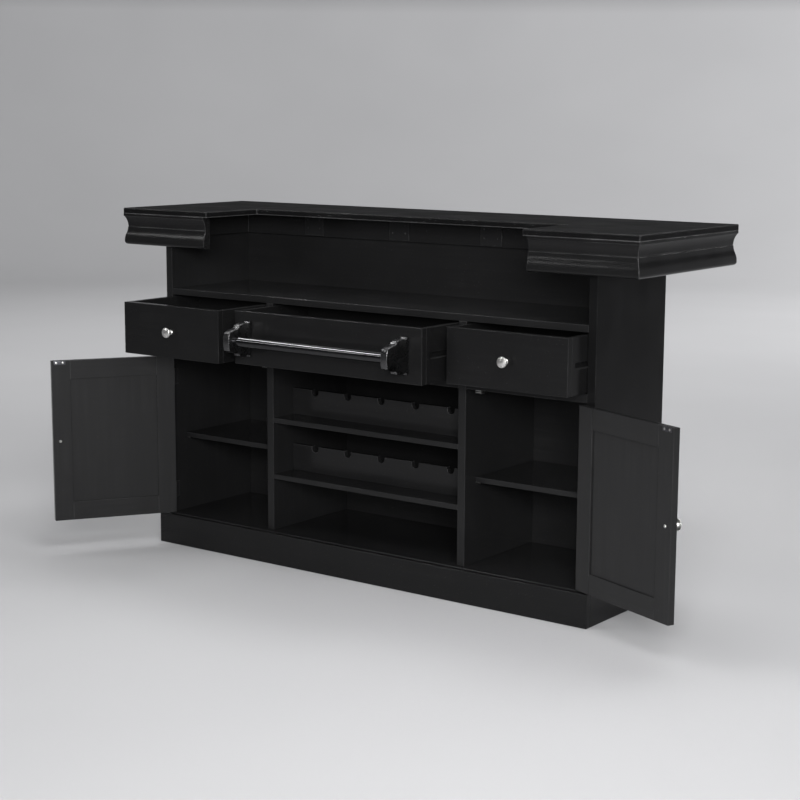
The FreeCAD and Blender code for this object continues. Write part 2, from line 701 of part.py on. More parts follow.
def door_frame():
    """Return a door's frame in one piece, its outline and its opening eased."""
    blank = board(DOOR_FREE_EDGE, DOOR_HINGE_EDGE, FRONT, DOOR_BACK, DOOR_FOOT, DOOR_TOP)
    x0, x1, z0, z1 = door_window()
    frame = blank.cut(block(x0, x1, FRONT, DOOR_BACK, z0, z1))
    rim = []
    for edge in frame.Edges:
        box = edge.BoundBox
        inside = box.XMin > x0 - BOARD_EASE and box.XMax < x1 + BOARD_EASE
        inside = inside and box.ZMin > z0 - BOARD_EASE and box.ZMax < z1 + BOARD_EASE
        if inside and box.YLength < BOARD_EASE:
            rim.append(edge)
    return frame.makeFillet(BOARD_EASE, rim)


def door_stiles():
    """Return the upright members of a door frame, the free one bored for the knob."""
    free_inner, hinge_inner, window_foot, window_top = door_window()
    frame = door_frame()
    free = frame.common(block(DOOR_FREE_EDGE, free_inner, FRONT, DOOR_BACK, DOOR_FOOT, DOOR_TOP))
    hinge = frame.common(block(hinge_inner, DOOR_HINGE_EDGE, FRONT, DOOR_BACK, DOOR_FOOT, DOOR_TOP))
    z0 = window_foot - PANEL_GROOVE_DEPTH
    z1 = window_top + PANEL_GROOVE_DEPTH
    knob_hole = screw_hole(DOOR_FREE_EDGE + KNOB_DOOR_INSET, DOOR_MIDDLE, DOOR_THICKNESS)
    free = free.cut([panel_groove(free_inner - PANEL_GROOVE_DEPTH, free_inner, z0, z1), knob_hole])
    hinge = hinge.cut(panel_groove(hinge_inner, hinge_inner + PANEL_GROOVE_DEPTH, z0, z1))
    return group(free.Solids + hinge.Solids)


def door_rails():
    """Return the level members of a door frame, between the stiles."""
    x0, x1, window_foot, window_top = door_window()
    frame = door_frame()
    foot = frame.common(block(x0, x1, FRONT, DOOR_BACK, DOOR_FOOT, window_foot))
    head = frame.common(block(x0, x1, FRONT, DOOR_BACK, window_top, DOOR_TOP))
    foot = foot.cut(panel_groove(x0, x1, window_foot - PANEL_GROOVE_DEPTH, window_foot))
    head = head.cut(panel_groove(x0, x1, window_top, window_top + PANEL_GROOVE_DEPTH))
    return group(foot.Solids + head.Solids)


def door_panel():
    """Return the thin panel in a door's frame."""
    into_groove = PANEL_GROOVE_DEPTH - PANEL_GROOVE_PLAY
    inset = STILE_WIDTH - into_groove
    y1 = DOOR_BACK - DOOR_PANEL_RECESS
    y0 = y1 - DOOR_PANEL_THICKNESS
    x0 = DOOR_FREE_EDGE + inset
    x1 = DOOR_HINGE_EDGE - inset
    return block(x0, x1, y0, y1, DOOR_FOOT + inset, DOOR_TOP - inset)


def strike_plate():
    """Return the steel plate on a door's inner face that the catch holds."""
    x0 = DOOR_FREE_EDGE + STRIKE_EDGE_INSET
    top = DOOR_TOP - STRIKE_TOP_INSET
    return block(x0, x0 + STRIKE_LENGTH, DOOR_BACK, DOOR_BACK + STRIKE_GAUGE, top - STRIKE_HEIGHT, top)


def magnetic_catches():
    """Return the catches under the outer rails, just behind the shut doors."""
    x0 = DOOR_FREE_EDGE + STRIKE_EDGE_INSET
    y0 = DOOR_BACK + STRIKE_GAUGE + CATCH_GAP
    foot = RAIL_UNDERSIDE - CATCH_HEIGHT
    case = board(x0, x0 + STRIKE_LENGTH, y0, y0 + CATCH_DEPTH, foot, RAIL_UNDERSIDE)
    return group(both_sides(case))


def hinge_leaf(plate_x0, plate_x1, foot, knuckles):
    """Return one hinge leaf: a plate with a knuckle round the axis per (low, high) share."""
    shape = block(plate_x0, plate_x1, FRONT, DOOR_BACK - LEAF_MARGIN, foot, foot + HINGE_LENGTH)
    for low, high in knuckles:
        z0 = foot + low * HINGE_LENGTH + (KNUCKLE_GAP / 2 if low else 0)
        z1 = foot + high * HINGE_LENGTH - (KNUCKLE_GAP / 2 if high < 1 else 0)
        neck = block(plate_x0, plate_x1, HINGE_Y, FRONT, z0, z1)
        knuckle = rod(KNUCKLE_RADIUS, z1 - z0, Vector(HINGE_X, HINGE_Y, z0), UP)
        shape = shape.fuse([neck, knuckle])
    bore = rod(HINGE_PIN_RADIUS + HINGE_PIN_PLAY, HINGE_LENGTH, Vector(HINGE_X, HINGE_Y, foot), UP)
    return shape.cut(bore).removeSplitter()


def door_hinge_leaves():
    """Return the leaves on a door's edge, each with the middle knuckle."""
    x0, x1 = DOOR_HINGE_EDGE, DOOR_HINGE_EDGE + LEAF_GAUGE
    return group([hinge_leaf(x0, x1, foot, [(1 / 3, 2 / 3)]) for foot in HINGE_FEET])


def side_hinge_leaves():
    """Return the leaves on both side panels, each with the outer knuckles."""
    x0, x1 = SIDE_INNER - LEAF_GAUGE, SIDE_INNER
    leaves = []
    for foot in HINGE_FEET:
        leaves += both_sides(hinge_leaf(x0, x1, foot, [(0, 1 / 3), (2 / 3, 1)]))
    return group(leaves)


def hinge_pins():
    """Return the four headed pins of the hinges."""
    pins = []
    for foot in HINGE_FEET:
        start = Vector(HINGE_X, HINGE_Y, foot)
        pin = rod(HINGE_PIN_RADIUS, HINGE_LENGTH, start, UP)
        low = rod(HINGE_PIN_HEAD_RADIUS, HINGE_PIN_HEAD, start, UP.negative())
        high = rod(HINGE_PIN_HEAD_RADIUS, HINGE_PIN_HEAD, start.add(UP * HINGE_LENGTH), UP)
        pins += both_sides(pin.fuse([low, high]).removeSplitter())
    return group(pins)


# Assembly

def carcass_parts():
    """Return the fixed sub-parts by name."""
    right_panel, right_divider, right_plinth = side_panel(), divider(), plinth_end()
    right_end, right_arm, right_shelf = moulding_end(), moulding_arm(), bay_shelf()
    return {
        "left_side_panel": mirrored(right_panel),
        "right_side_panel": right_panel,
        "customer_panel": customer_panel(),
        "left_divider": mirrored(right_divider),
        "right_divider": right_divider,
        "cabinet_floor": cabinet_floor(),
        "floor_bearers": floor_bearers(),
        "drawer_rails": drawer_rails(),
        "work_shelf": work_shelf(),
        "plinth_front": plinth_front(),
        "plinth_left_end": mirrored(right_plinth),
        "plinth_right_end": right_plinth,
        "plinth_customer_side": plinth_customer_side(),
        "top_slab": top_slab(),
        "top_cleats": top_cleats(),
        "top_brackets": top_brackets(),
        "moulding_customer_side": moulding_customer_side(),
        "moulding_left_end": mirrored(right_end),
        "moulding_right_end": right_end,
        "moulding_left_arm": mirrored(right_arm),
        "moulding_right_arm": right_arm,
        "left_bay_shelf": mirrored(right_shelf),
        "right_bay_shelf": right_shelf,
        "shelf_pins": shelf_pins(),
        "lower_wine_shelf": wine_shelf(1),
        "upper_wine_shelf": wine_shelf(2),
        "lower_neck_rail": neck_rail(1),
        "upper_neck_rail": neck_rail(2),
        "drawer_runners": drawer_runners(),
        "side_hinge_leaves": side_hinge_leaves(),
        "hinge_pins": hinge_pins(),
        "magnetic_catches": magnetic_catches(),
    }


def drawer_parts(side):
    """Return the sub-parts of one drawer by name, where the drawer rests."""
    bay_left, bay_right, pulled_out = DRAWER_BAYS[side]
    x0 = bay_left + DRAWER_GAP
    x1 = bay_right - DRAWER_GAP
    middle = (x0 + x1) / 2
    centre = side == "centre"
    screws = towel_bar_screws_at() if centre else [(middle, DRAWER_MIDDLE)]
    parts = {
        f"{side}_drawer_front": drawer_front(x0, x1, screws),
        f"{side}_drawer_sides": group([drawer_side(x0, 1), drawer_side(x1, -1)]),
        f"{side}_drawer_back": drawer_back(x0, x1),
        f"{side}_drawer_bottom": drawer_bottom(x0, x1),
    }
    if centre:
        parts["towel_bar"] = towel_bar()
        parts["towel_bar_brackets"] = towel_bar_brackets()
    else:
        parts[f"{side}_drawer_knob"] = knob(middle, DRAWER_MIDDLE, DRAWER_FRONT_THICKNESS)
    for shape in parts.values():
        shape.translate(SERVING_WAY * pulled_out)
    return parts


def door_parts(side):
    """Return the sub-parts of one door by name, swung to where the door rests."""
    right = side == "right"
    knob_x = DOOR_FREE_EDGE + KNOB_DOOR_INSET
    shut = {
        "stiles": door_stiles(),
        "rails": door_rails(),
        "panel": door_panel(),
        "knob": knob(knob_x, DOOR_MIDDLE, DOOR_THICKNESS),
        "strike_plate": strike_plate(),
        "hinge_leaves": door_hinge_leaves(),
    }
    turn = RIGHT_DOOR_OPEN if right else -LEFT_DOOR_OPEN
    axis = Vector(HINGE_X if right else -HINGE_X, HINGE_Y, 0)
    parts = {}
    for name, shape in shut.items():
        placed = shape if right else mirrored(shape)
        placed.rotate(axis, UP, turn)
        parts[f"{side}_door_{name}"] = placed
    return parts


def main():
    """Write every sub-part to its own STEP file."""
    parts = carcass_parts()
    for side in DRAWER_BAYS:
        parts.update(drawer_parts(side))
    for side in ("left", "right"):
        parts.update(door_parts(side))
    os.makedirs("parts", exist_ok=True)
    for name, shape in parts.items():
        shape.exportStep(f"parts/{name}.step")
    print(f"{len(parts)} sub-parts written")


main()
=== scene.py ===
"""Finishes and dresses a bar counter with drawers, doors, shelves and bottle racks.

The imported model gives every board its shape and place. This script paints the
boards, plates the metalwork, makes the fittings that carry fine detail, and sets
the counter on a pale floor under soft light.
"""

import json
import logging
import math
from dataclasses import dataclass, field
from enum import Enum

import bmesh
import bpy
from mathutils import Matrix, Vector


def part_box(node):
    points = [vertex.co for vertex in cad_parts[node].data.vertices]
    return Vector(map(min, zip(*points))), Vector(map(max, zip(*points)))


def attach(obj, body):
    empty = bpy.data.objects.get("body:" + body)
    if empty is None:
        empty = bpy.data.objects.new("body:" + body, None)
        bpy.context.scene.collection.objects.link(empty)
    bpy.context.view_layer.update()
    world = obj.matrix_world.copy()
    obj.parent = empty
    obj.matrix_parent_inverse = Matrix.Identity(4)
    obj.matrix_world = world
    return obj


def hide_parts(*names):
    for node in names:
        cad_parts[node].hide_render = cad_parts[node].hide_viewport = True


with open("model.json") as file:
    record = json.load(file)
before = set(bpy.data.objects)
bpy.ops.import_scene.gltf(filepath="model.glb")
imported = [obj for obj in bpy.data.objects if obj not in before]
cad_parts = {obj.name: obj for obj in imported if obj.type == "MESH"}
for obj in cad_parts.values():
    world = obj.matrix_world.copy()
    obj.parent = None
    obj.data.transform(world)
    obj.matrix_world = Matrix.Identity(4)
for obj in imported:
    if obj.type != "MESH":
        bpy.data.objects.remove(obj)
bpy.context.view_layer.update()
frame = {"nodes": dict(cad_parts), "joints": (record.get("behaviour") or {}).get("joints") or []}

log = logging.getLogger("bar counter")

MM = 0.001
Point = tuple[float, float, float]
Range = tuple[float, float]
Outline = list[tuple[float, float]]
Colour = tuple[float, float, float]
Socket = bpy.types.NodeSocket
Value = Socket | float | Colour
Material = bpy.types.Material
Piece = bpy.types.Object
Shape = bmesh.types.BMesh
Ring = list[bmesh.types.BMVert]
DOWN = Vector((0, 0, -1))
TO_SERVER = Vector((0, -1, 0))
TO_CUSTOMERS = Vector((0, 1, 0))


class Grain(Enum):
    """Which way the wood runs under the paint, as the scale of its figure on X, Y and Z."""

    LENGTHWISE = (0.04, 1.0, 1.0)
    FRONT_TO_BACK = (1.0, 0.04, 1.0)
    UPRIGHT = (1.0, 1.0, 0.04)


class Side(Enum):
    """The two ends of the counter as the person serving sees them."""

    LEFT = -1
    RIGHT = 1

    @property
    def word(self) -> str:
        """Return the side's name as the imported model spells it."""
        return self.name.lower()


class Bay(Enum):
    """The three drawers' places, from the left of the person serving."""

    LEFT = "left"
    CENTRE = "centre"
    RIGHT = "right"


# Finishes


class Working(Enum):
    """How two values are worked together."""

    ADD = "ADD"
    SUBTRACT = "SUBTRACT"
    MULTIPLY = "MULTIPLY"


@dataclass(frozen=True)
class Cloud:
    """A layer of cloudy noise: its clouds in a metre, finer layers, their strength, and pull."""

    scale: float
    detail: float = 3.0
    roughness: float = 0.5
    pull: float = 0.0


class Sheet:
    """A material's node tree, with short calls that add and join nodes."""

    edge_samples: int = 6
    edge_likeness: Range = (0.80, 0.995)

    def __init__(self, name: str) -> None:
        """Start an empty tree with a shader and an output.

        Args:
            name: What the material is called.
        """
        self.material = bpy.data.materials.new(name)
        self.material.use_nodes = True
        self.tree = self.material.node_tree
        self.tree.nodes.clear()
        self.shader = self.add("ShaderNodeBsdfPrincipled")
        output = self.add("ShaderNodeOutputMaterial")
        self.join(self.shader.outputs["BSDF"], output.inputs["Surface"])

    def add(self, kind: str, **settings: object) -> bpy.types.Node:
        """Add a node.

        Args:
            kind: The node's Blender type.
            **settings: Attributes to set on the node.

        Returns:
            The new node.
        """
        node = self.tree.nodes.new(kind)
        for key, value in settings.items():
            setattr(node, key, value)
        return node

    def join(self, source: Socket, target: Socket) -> None:
        """Link an output to an input."""
        self.tree.links.new(source, target)

    def feed(self, socket: Socket, value: Value) -> None:
        """Link a socket's value to an input, or set a plain value on it.

        Args:
            socket: The input.
            value: An output, or a plain value.
        """
        if isinstance(value, Socket):
            self.join(value, socket)
        else:
            socket.default_value = value

    def coat(
        self, colour: Socket, roughness: Socket, surface: Socket, **constants: float
    ) -> Material:
        """Give the shader what it needs.

        Args:
            colour: The base colour.
            roughness: How rough the surface is.
            surface: The surface's direction.
            **constants: What is the same all over, by the input's name with _ for a space.

        Returns:
            The finished material.
        """
        self.join(colour, self.shader.inputs["Base Color"])
        self.join(roughness, self.shader.inputs["Roughness"])
        self.join(surface, self.shader.inputs["Normal"])
        for name, value in constants.items():
            self.shader.inputs[name.replace("_", " ")].default_value = value
        return self.material

    def place(self, scale: Point, turn: float = 0.0) -> Socket:
        """Return object coordinates, stretched along each axis.

        Args:
            scale: How many times the pattern repeats per metre, on X, Y and Z.
            turn: Degrees that the piece has been swung about +Z.

        Returns:
            The vector output.
        """
        source = self.add("ShaderNodeTexCoord").outputs["Object"]
        if turn:
            swing = self.add("ShaderNodeMapping", vector_type="POINT")
            swing.inputs["Rotation"].default_value = (0.0, 0.0, math.radians(-turn))
            self.join(source, swing.inputs["Vector"])
            source = swing.outputs["Vector"]
        stretch = self.add("ShaderNodeMapping", vector_type="POINT")
        stretch.inputs["Scale"].default_value = scale
        self.join(source, stretch.inputs["Vector"])
        return stretch.outputs["Vector"]

    def height(self) -> Socket:
        """Return how high each point lies, in metres.

        Returns:
            The Z output.
        """
        parts = self.add("ShaderNodeSeparateXYZ")
        self.join(self.add("ShaderNodeTexCoord").outputs["Object"], parts.inputs["Vector"])
        return parts.outputs["Z"]

    def cloud(self, layer: Cloud, stretch: Point = (1.0, 1.0, 1.0), turn: float = 0.0) -> Socket:
        """Return cloudy noise from 0 to 1.

        Args:
            layer: The clouds.
            stretch: How many times closer they lie on X, Y and Z.
            turn: Degrees that the piece has been swung about +Z.

        Returns:
            The factor output.
        """
        where = self.place(tuple(layer.scale * closer for closer in stretch), turn)
        node = self.add("ShaderNodeTexNoise")
        self.join(where, node.inputs["Vector"])
        node.inputs["Scale"].default_value = 1.0
        node.inputs["Detail"].default_value = layer.detail
        node.inputs["Roughness"].default_value = layer.roughness
        node.inputs["Distortion"].default_value = layer.pull
        return node.outputs["Fac"]

    def span(self, value: Socket, read: Range, give: Range = (0.0, 1.0)) -> Socket:
        """Return a value mapped from one range to another, held at the ends.

        Args:
            value: What is mapped.
            read: The range that is read.
            give: What its two ends become.

        Returns:
            The mapped value.
        """
        node = self.add("ShaderNodeMapRange", clamp=True)
        for socket, number in zip(list(node.inputs)[1:5], (*read, *give)):
            socket.default_value = number
        self.join(value, node.inputs["Value"])
        return node.outputs["Result"]

    def work(self, how: Working, first: Value, second: Value) -> Socket:
        """Return two values worked together.

        Args:
            how: What is done with them.
            first: The first, a number or a socket.
            second: The second, a number or a socket.

        Returns:
            The result.
        """
        node = self.add("ShaderNodeMath", operation=how.value)
        self.feed(node.inputs[0], first)
        self.feed(node.inputs[1], second)
        return node.outputs[0]

    def blend(self, factor: Socket, first: Value, second: Value) -> Socket:
        """Return a colour between two, each a colour or a socket.

        Args:
            factor: 0 for the first, 1 for the second.
            first: The first colour.
            second: The second colour.

        Returns:
            The blended colour.
        """
        node = self.add("ShaderNodeMix", data_type="RGBA")
        self.join(factor, node.inputs["Factor"])
        for name, value in (("A", first), ("B", second)):
            socket = next(s for s in node.inputs if s.name == name and s.type == "RGBA")
            self.feed(socket, (*value, 1.0) if isinstance(value, tuple) else value)
        return next(s for s in node.outputs if s.type == "RGBA")

    def relief(self, height: Socket, depth: float, under: Socket | None = None) -> Socket:
        """Return the surface's direction with a fine relief on it.

        Args:
            height: The relief, from 0 to 1.
            depth: How deep the whole relief is, in metres.
            under: The direction that it is laid over.

        Returns:
            The normal output.
        """
        node = self.add("ShaderNodeBump")
        node.inputs["Strength"].default_value = 1.0
        node.inputs["Distance"].default_value = depth
        self.join(height, node.inputs["Height"])
        if under is not None:
            self.join(under, node.inputs["Normal"])
        return node.outputs["Normal"]

    def eased(self, radius: float) -> Socket:
        """Return the surface's direction with sharp edges eased.

        Args:
            radius: How far the easing reaches, in metres.

        Returns:
            The normal output.
        """
        node = self.add("ShaderNodeBevel", samples=self.edge_samples)
        node.inputs["Radius"].default_value = radius
        return node.outputs["Normal"]

    def edge(self, rounded: Socket) -> Socket:
        """Return 1 along sharp edges, fading to 0 beside them.

        Args:
            rounded: The surface's direction with its edges eased.

        Returns:
            The edge factor.
        """
        flat = self.add("ShaderNodeNewGeometry")
        likeness = self.add("ShaderNodeVectorMath", operation="DOT_PRODUCT")
        self.join(rounded, likeness.inputs[0])
        self.join(flat.outputs["Normal"], likeness.inputs[1])
        return self.span(likeness.outputs["Value"], self.edge_likeness, (1.0, 0.0))


@dataclass(frozen=True)
class Finish:
    """A surface finish that is made once and shared by the pieces that wear it."""

    name: str

    def material(self) -> Material:
        """Return this finish's material, made on first use."""
        found = bpy.data.materials.get(self.name)
        return found or self.mix(Sheet(self.name))

    def mix(self, sheet: Sheet) -> Material:
        """Build the node tree of the finish.

        Args:
            sheet: An empty tree.

        Returns:
            The finished material.
        """
        raise NotImplementedError

    def dress(self, *pieces: Piece) -> None:
        """Put this finish on every material slot of the pieces.

        Args:
            *pieces: What is dressed.
        """
        for piece in pieces:
            if not piece.material_slots:
                piece.data.materials.append(None)
            for place in piece.material_slots:
                place.material = self.material()


@dataclass(frozen=True)
class BlackPaint(Finish):
    """Sprayed satin paint over wood, paler along its edges: partly where it wears thin, partly a
    painted highlight.
    """

    grain: Grain = Grain.LENGTHWISE
    turn: float = 0.0
    tone: Colour = (0.0070, 0.0070, 0.0072)
    pale: Colour = (0.0092, 0.0092, 0.0094)
    # Pale colour for dust specks and along the edges; at the edges it is partly wear and partly a
    # painted highlight.
    rubbed: Colour = (0.075, 0.075, 0.076)
    gloss: Range = (0.17, 0.27)
    specular: float = 0.17
    edge_radius: float = 0.0026
    edge_gloss: float = 0.15
    # How strongly the edges pale, least and most: partly wear, partly a painted highlight.
    worn_least: float = 0.15
    worn_most: float = 0.9
    speck_strength: float = 0.25
    fibres: Cloud = Cloud(900.0, 4.0, 0.6, 0.3)
    figure: Cloud = Cloud(60.0, 3.0, 0.55, 0.6)
    spray: Cloud = Cloud(420.0, 2.0)
    marks: Cloud = Cloud(9.0, 4.0, 0.55, 0.3)
    waves: Cloud = Cloud(4.5, 1.0)
    dust: Cloud = Cloud(310.0, 0.0)
    speck_range: Range = (0.80, 0.86)
    patch_range: Range = (0.35, 0.70)
    streak_range: Range = (0.40, 0.68)
    worn_range: Range = (0.38, 0.62)
    gloss_range: Range = (0.30, 0.72)
    wave_depth: float = 0.0012
    figure_depth: float = 0.00007
    fibre_depth: float = 0.000025
    spray_depth: float = 0.000018

    def mix(self, sheet: Sheet) -> Material:
        """Build the paint: brush-fine grain, soft waves, hand marks, dust, and pale edges that are
        partly wear, partly a painted highlight.

        Args:
            sheet: An empty tree.

        Returns:
            The finished material.
        """
        fibres, figure = (
            sheet.cloud(layer, self.grain.value, self.turn) for layer in (self.fibres, self.figure)
        )
        spray, marks, waves, dust = (
            sheet.cloud(layer) for layer in (self.spray, self.marks, self.waves, self.dust)
        )
        specks = sheet.span(dust, self.speck_range)
        patchy = sheet.span(marks, self.patch_range)
        streaks = sheet.span(figure, self.streak_range)
        colour = sheet.blend(sheet.work(Working.MULTIPLY, patchy, streaks), self.tone, self.pale)
        specks = sheet.work(Working.MULTIPLY, specks, self.speck_strength)
        colour = sheet.blend(specks, colour, self.rubbed)
        eased = sheet.eased(self.edge_radius)
        edge = sheet.edge(eased)
        # Edges pale towards the speck colour: partly wear, partly a painted highlight on the eased
        # edges.
        wear = sheet.span(marks, self.worn_range, (self.worn_least, self.worn_most))
        colour = sheet.blend(sheet.work(Working.MULTIPLY, edge, wear), colour, self.rubbed)
        gloss = sheet.span(marks, self.gloss_range, self.gloss)
        polish = sheet.work(Working.MULTIPLY, edge, self.gloss[1] - self.edge_gloss)
        surface = eased
        for layer, depth in (
            (waves, self.wave_depth), (figure, self.figure_depth), (fibres, self.fibre_depth),
            (spray, self.spray_depth),
        ):
            surface = sheet.relief(layer, depth, surface)
        return sheet.coat(
            colour, sheet.work(Working.SUBTRACT, gloss, polish), surface,
            Specular_IOR_Level=self.specular,
        )


@dataclass(frozen=True)
class Plating(Finish):
    """Polished or brushed metal with a fine lay, small scratches and finger marks."""

    tone: Colour
    dull: Colour
    gloss: Range
    lay: Point = (40.0, 1600.0, 1600.0)
    lay_depth: float = 0.000003
    lay_gloss: float = 0.03
    lines: Cloud = Cloud(1.0, 3.0, 0.6)
    touch: Cloud = Cloud(55.0, 4.0, pull=0.8)
    pits: Cloud = Cloud(700.0, 1.0)
    smudge_range: Range = (0.42, 0.70)
    smudge_strength: float = 0.6
    pit_range: Range = (0.74, 0.80)
    pit_strength: float = 0.5
    gloss_range: Range = (0.35, 0.72)
    line_range: Range = (0.3, 0.7)

    def mix(self, sheet: Sheet) -> Material:
        """Build the metal.

        Args:
            sheet: An empty tree.

        Returns:
            The finished material.
        """
        lines = sheet.cloud(self.lines, self.lay)
        touched = sheet.cloud(self.touch)
        pits = sheet.span(sheet.cloud(self.pits), self.pit_range, (0.0, self.pit_strength))
        smudge = sheet.span(touched, self.smudge_range)
        smudge = sheet.work(Working.MULTIPLY, smudge, self.smudge_strength)
        colour = sheet.blend(pits, sheet.blend(smudge, self.tone, self.dull), self.dull)
        gloss = sheet.span(touched, self.gloss_range, self.gloss)
        brushed = sheet.span(lines, self.line_range, (0.0, self.lay_gloss))
        roughness = sheet.work(Working.ADD, gloss, brushed)
        return sheet.coat(colour, roughness, sheet.relief(lines, self.lay_depth), Metallic=1.0)


@dataclass(frozen=True)
class BlackMetal(Finish):
    """Stove-enamelled steel with a pebbled skin and pale edges that are partly chips, partly a
    painted glint.
    """

    tone: Colour = (0.0110, 0.0110, 0.0115)
    # Pale colour along edges: partly chips in the enamel, partly a painted glint.
    chipped: Colour = (0.25, 0.25, 0.25)
    gloss: Range = (0.30, 0.48)
    specular: float = 0.26
    skin: Cloud = Cloud(650.0, 2.0)
    skin_depth: float = 0.00003
    wear: Cloud = Cloud(35.0, 4.0)
    worn_range: Range = (0.45, 0.65)
    gloss_range: Range = (0.3, 0.7)
    edge_radius: float = 0.0008

    def mix(self, sheet: Sheet) -> Material:
        """Build the enamel.

        Args:
            sheet: An empty tree.

        Returns:
            The finished material.
        """
        skin, wear = sheet.cloud(self.skin), sheet.cloud(self.wear)
        eased = sheet.eased(self.edge_radius)
        # Edges pale where the noise allows: partly chips, partly a painted glint.
        chips_and_glint_mask = sheet.work(Working.MULTIPLY, sheet.edge(eased), sheet.span(wear, self.worn_range))
        return sheet.coat(
            sheet.blend(chips_and_glint_mask, self.tone, self.chipped),
            sheet.span(wear, self.gloss_range, self.gloss),
            sheet.relief(skin, self.skin_depth, eased),
            Specular_IOR_Level=self.specular,
        )


@dataclass(frozen=True)
class BlackPlastic(Finish):
    """Moulded plastic with a spark-eroded texture."""

    tone: Colour = (0.010, 0.010, 0.010)
    scuffed: Colour = (0.030, 0.030, 0.030)
    gloss: Range = (0.42, 0.58)
    texture: Cloud = Cloud(1400.0, 1.0)
    texture_depth: float = 0.00003
    wear: Cloud = Cloud(80.0)
    scuff_range: Range = (0.50, 0.75)
    gloss_range: Range = (0.3, 0.7)

    def mix(self, sheet: Sheet) -> Material:
        """Build the plastic.

        Args:
            sheet: An empty tree.

        Returns:
            The finished material.
        """
        texture, wear = sheet.cloud(self.texture), sheet.cloud(self.wear)
        return sheet.coat(
            sheet.blend(sheet.span(wear, self.scuff_range), self.tone, self.scuffed),
            sheet.span(wear, self.gloss_range, self.gloss),
            sheet.relief(texture, self.texture_depth),
        )


@dataclass(frozen=True)
class StudioFloor(Finish):
    """Pale painted floor that sweeps up into walls, with painted shade growing towards the walls'
    top.
    """

    tone: Colour = (0.50, 0.50, 0.51)
    scuffed: Colour = (0.48, 0.48, 0.49)
    # Painted shade: the walls fade to this dark colour over these heights, standing in for dim
    # light up high.
    dark: Colour = (0.035, 0.035, 0.037)
    darkens: Range = (2.35, 3.1)
    gloss: Range = (0.80, 0.92)
    specular: float = 0.1
    wear: Cloud = Cloud(0.6)
    scuff_range: Range = (0.35, 0.65)
    gloss_range: Range = (0.3, 0.7)
    grit: Cloud = Cloud(240.0, 2.0)
    grit_depth: float = 0.00002

    def mix(self, sheet: Sheet) -> Material:
        """Build the floor paint.

        Args:
            sheet: An empty tree.

        Returns:
            The finished material.
        """
        wear, grit = sheet.cloud(self.wear), sheet.cloud(self.grit)
        colour = sheet.blend(sheet.span(wear, self.scuff_range), self.tone, self.scuffed)
        return sheet.coat(
            sheet.blend(sheet.span(sheet.height(), self.darkens), colour, self.dark),
            sheet.span(wear, self.gloss_range, self.gloss),
            sheet.relief(grit, self.grit_depth),
            Specular_IOR_Level=self.specular,
        )


# Paint for the inner boards is lighter than the outer paint: painted fill light in the bays and
# the niche.
INNER_PAINTED_FILL_TONES = {"tone": (0.0105, 0.0105, 0.0108), "pale": (0.0135, 0.0135, 0.0138)}
# Paint for the doors is lighter still: painted light on the doors' faces.
DOOR_PAINTED_LIGHT_TONES = {"tone": (0.0150, 0.0150, 0.0153), "pale": (0.0190, 0.0190, 0.0193)}
LEVEL_PAINT = BlackPaint("black paint on level boards")
DEPTH_PAINT = BlackPaint("black paint on boards from front to back", grain=Grain.FRONT_TO_BACK)
# The right end panel's paint is darker: painted shade.
UPRIGHT_PAINT = BlackPaint(
    "black paint on upright boards",
    grain=Grain.UPRIGHT,
    tone=(0.0055, 0.0055, 0.0057),
    pale=(0.0075, 0.0075, 0.0077),
    specular=0.09,
)
# The top's paint is darker as painted shade, and its bright pale edge colour is a painted
# highlight line along its edges, partly wear.
TOP_PAINT = BlackPaint(
    "black paint on the top",
    tone=(0.0040, 0.0040, 0.0042),
    pale=(0.0064, 0.0064, 0.0066),
    rubbed=(0.42, 0.42, 0.425),
    gloss=(0.42, 0.54),
    specular=0.05,
    edge_radius=0.0044,
    edge_gloss=0.20,
    worn_least=0.45,
)
INNER_LEVEL_PAINT = BlackPaint("black paint on inner level boards", **INNER_PAINTED_FILL_TONES)
INNER_UPRIGHT_PAINT = BlackPaint(
    "black paint on inner upright boards", grain=Grain.UPRIGHT, **INNER_PAINTED_FILL_TONES
)
DOOR_PAINT = BlackPaint("black paint on door stiles", grain=Grain.UPRIGHT, **DOOR_PAINTED_LIGHT_TONES)
# The chrome is far darker than real chrome: its dark tone is a painted reflection of dark
# surroundings.
CHROME = Plating(
    "polished chrome",
    tone=(0.060, 0.060, 0.062),
    dull=(0.046, 0.046, 0.048),
    gloss=(0.04, 0.08),
    lay_depth=0.0000015,
)
# The satin chrome is darkened the same way: painted dark reflection on the brackets' faces.
SATIN_CHROME = Plating(
    "satin chrome", tone=(0.115, 0.115, 0.117), dull=(0.09, 0.09, 0.092), gloss=(0.22, 0.32)
)
NICKEL = Plating(
    "brushed nickel",
    tone=(0.80, 0.79, 0.77),
    dull=(0.62, 0.61, 0.59),
    gloss=(0.24, 0.34),
    lay=(900.0, 120.0, 900.0),
    lay_depth=0.000006,
)
ZINC = Plating(
    "zinc-plated steel",
    tone=(0.62, 0.62, 0.60),
    dull=(0.40, 0.40, 0.39),
    gloss=(0.26, 0.42),
    lay=(500.0, 500.0, 500.0),
    lay_depth=0.000010,
)
BLUED_STEEL = Plating(
    "blued steel",
    tone=(0.10, 0.10, 0.11),
    dull=(0.05, 0.05, 0.052),
    gloss=(0.28, 0.46),
    lay=(500.0, 500.0, 500.0),
    lay_depth=0.000010,
)
ENAMEL = BlackMetal("black enamelled steel")
PLASTIC = BlackPlastic("black moulded plastic")


# Shapes


MERGED_WITHIN = 1e-6
RIM_ANGLES = (0.0, math.pi / 6, math.pi / 3, math.pi / 2)
LEAST_CORNER = 0.1


def circle(radius: float, facets: int = 32) -> Outline:
    """Return the points of a circle."""
    angles = [2 * math.pi * index / facets for index in range(facets)]
    return [(radius * math.cos(angle), radius * math.sin(angle)) for angle in angles]


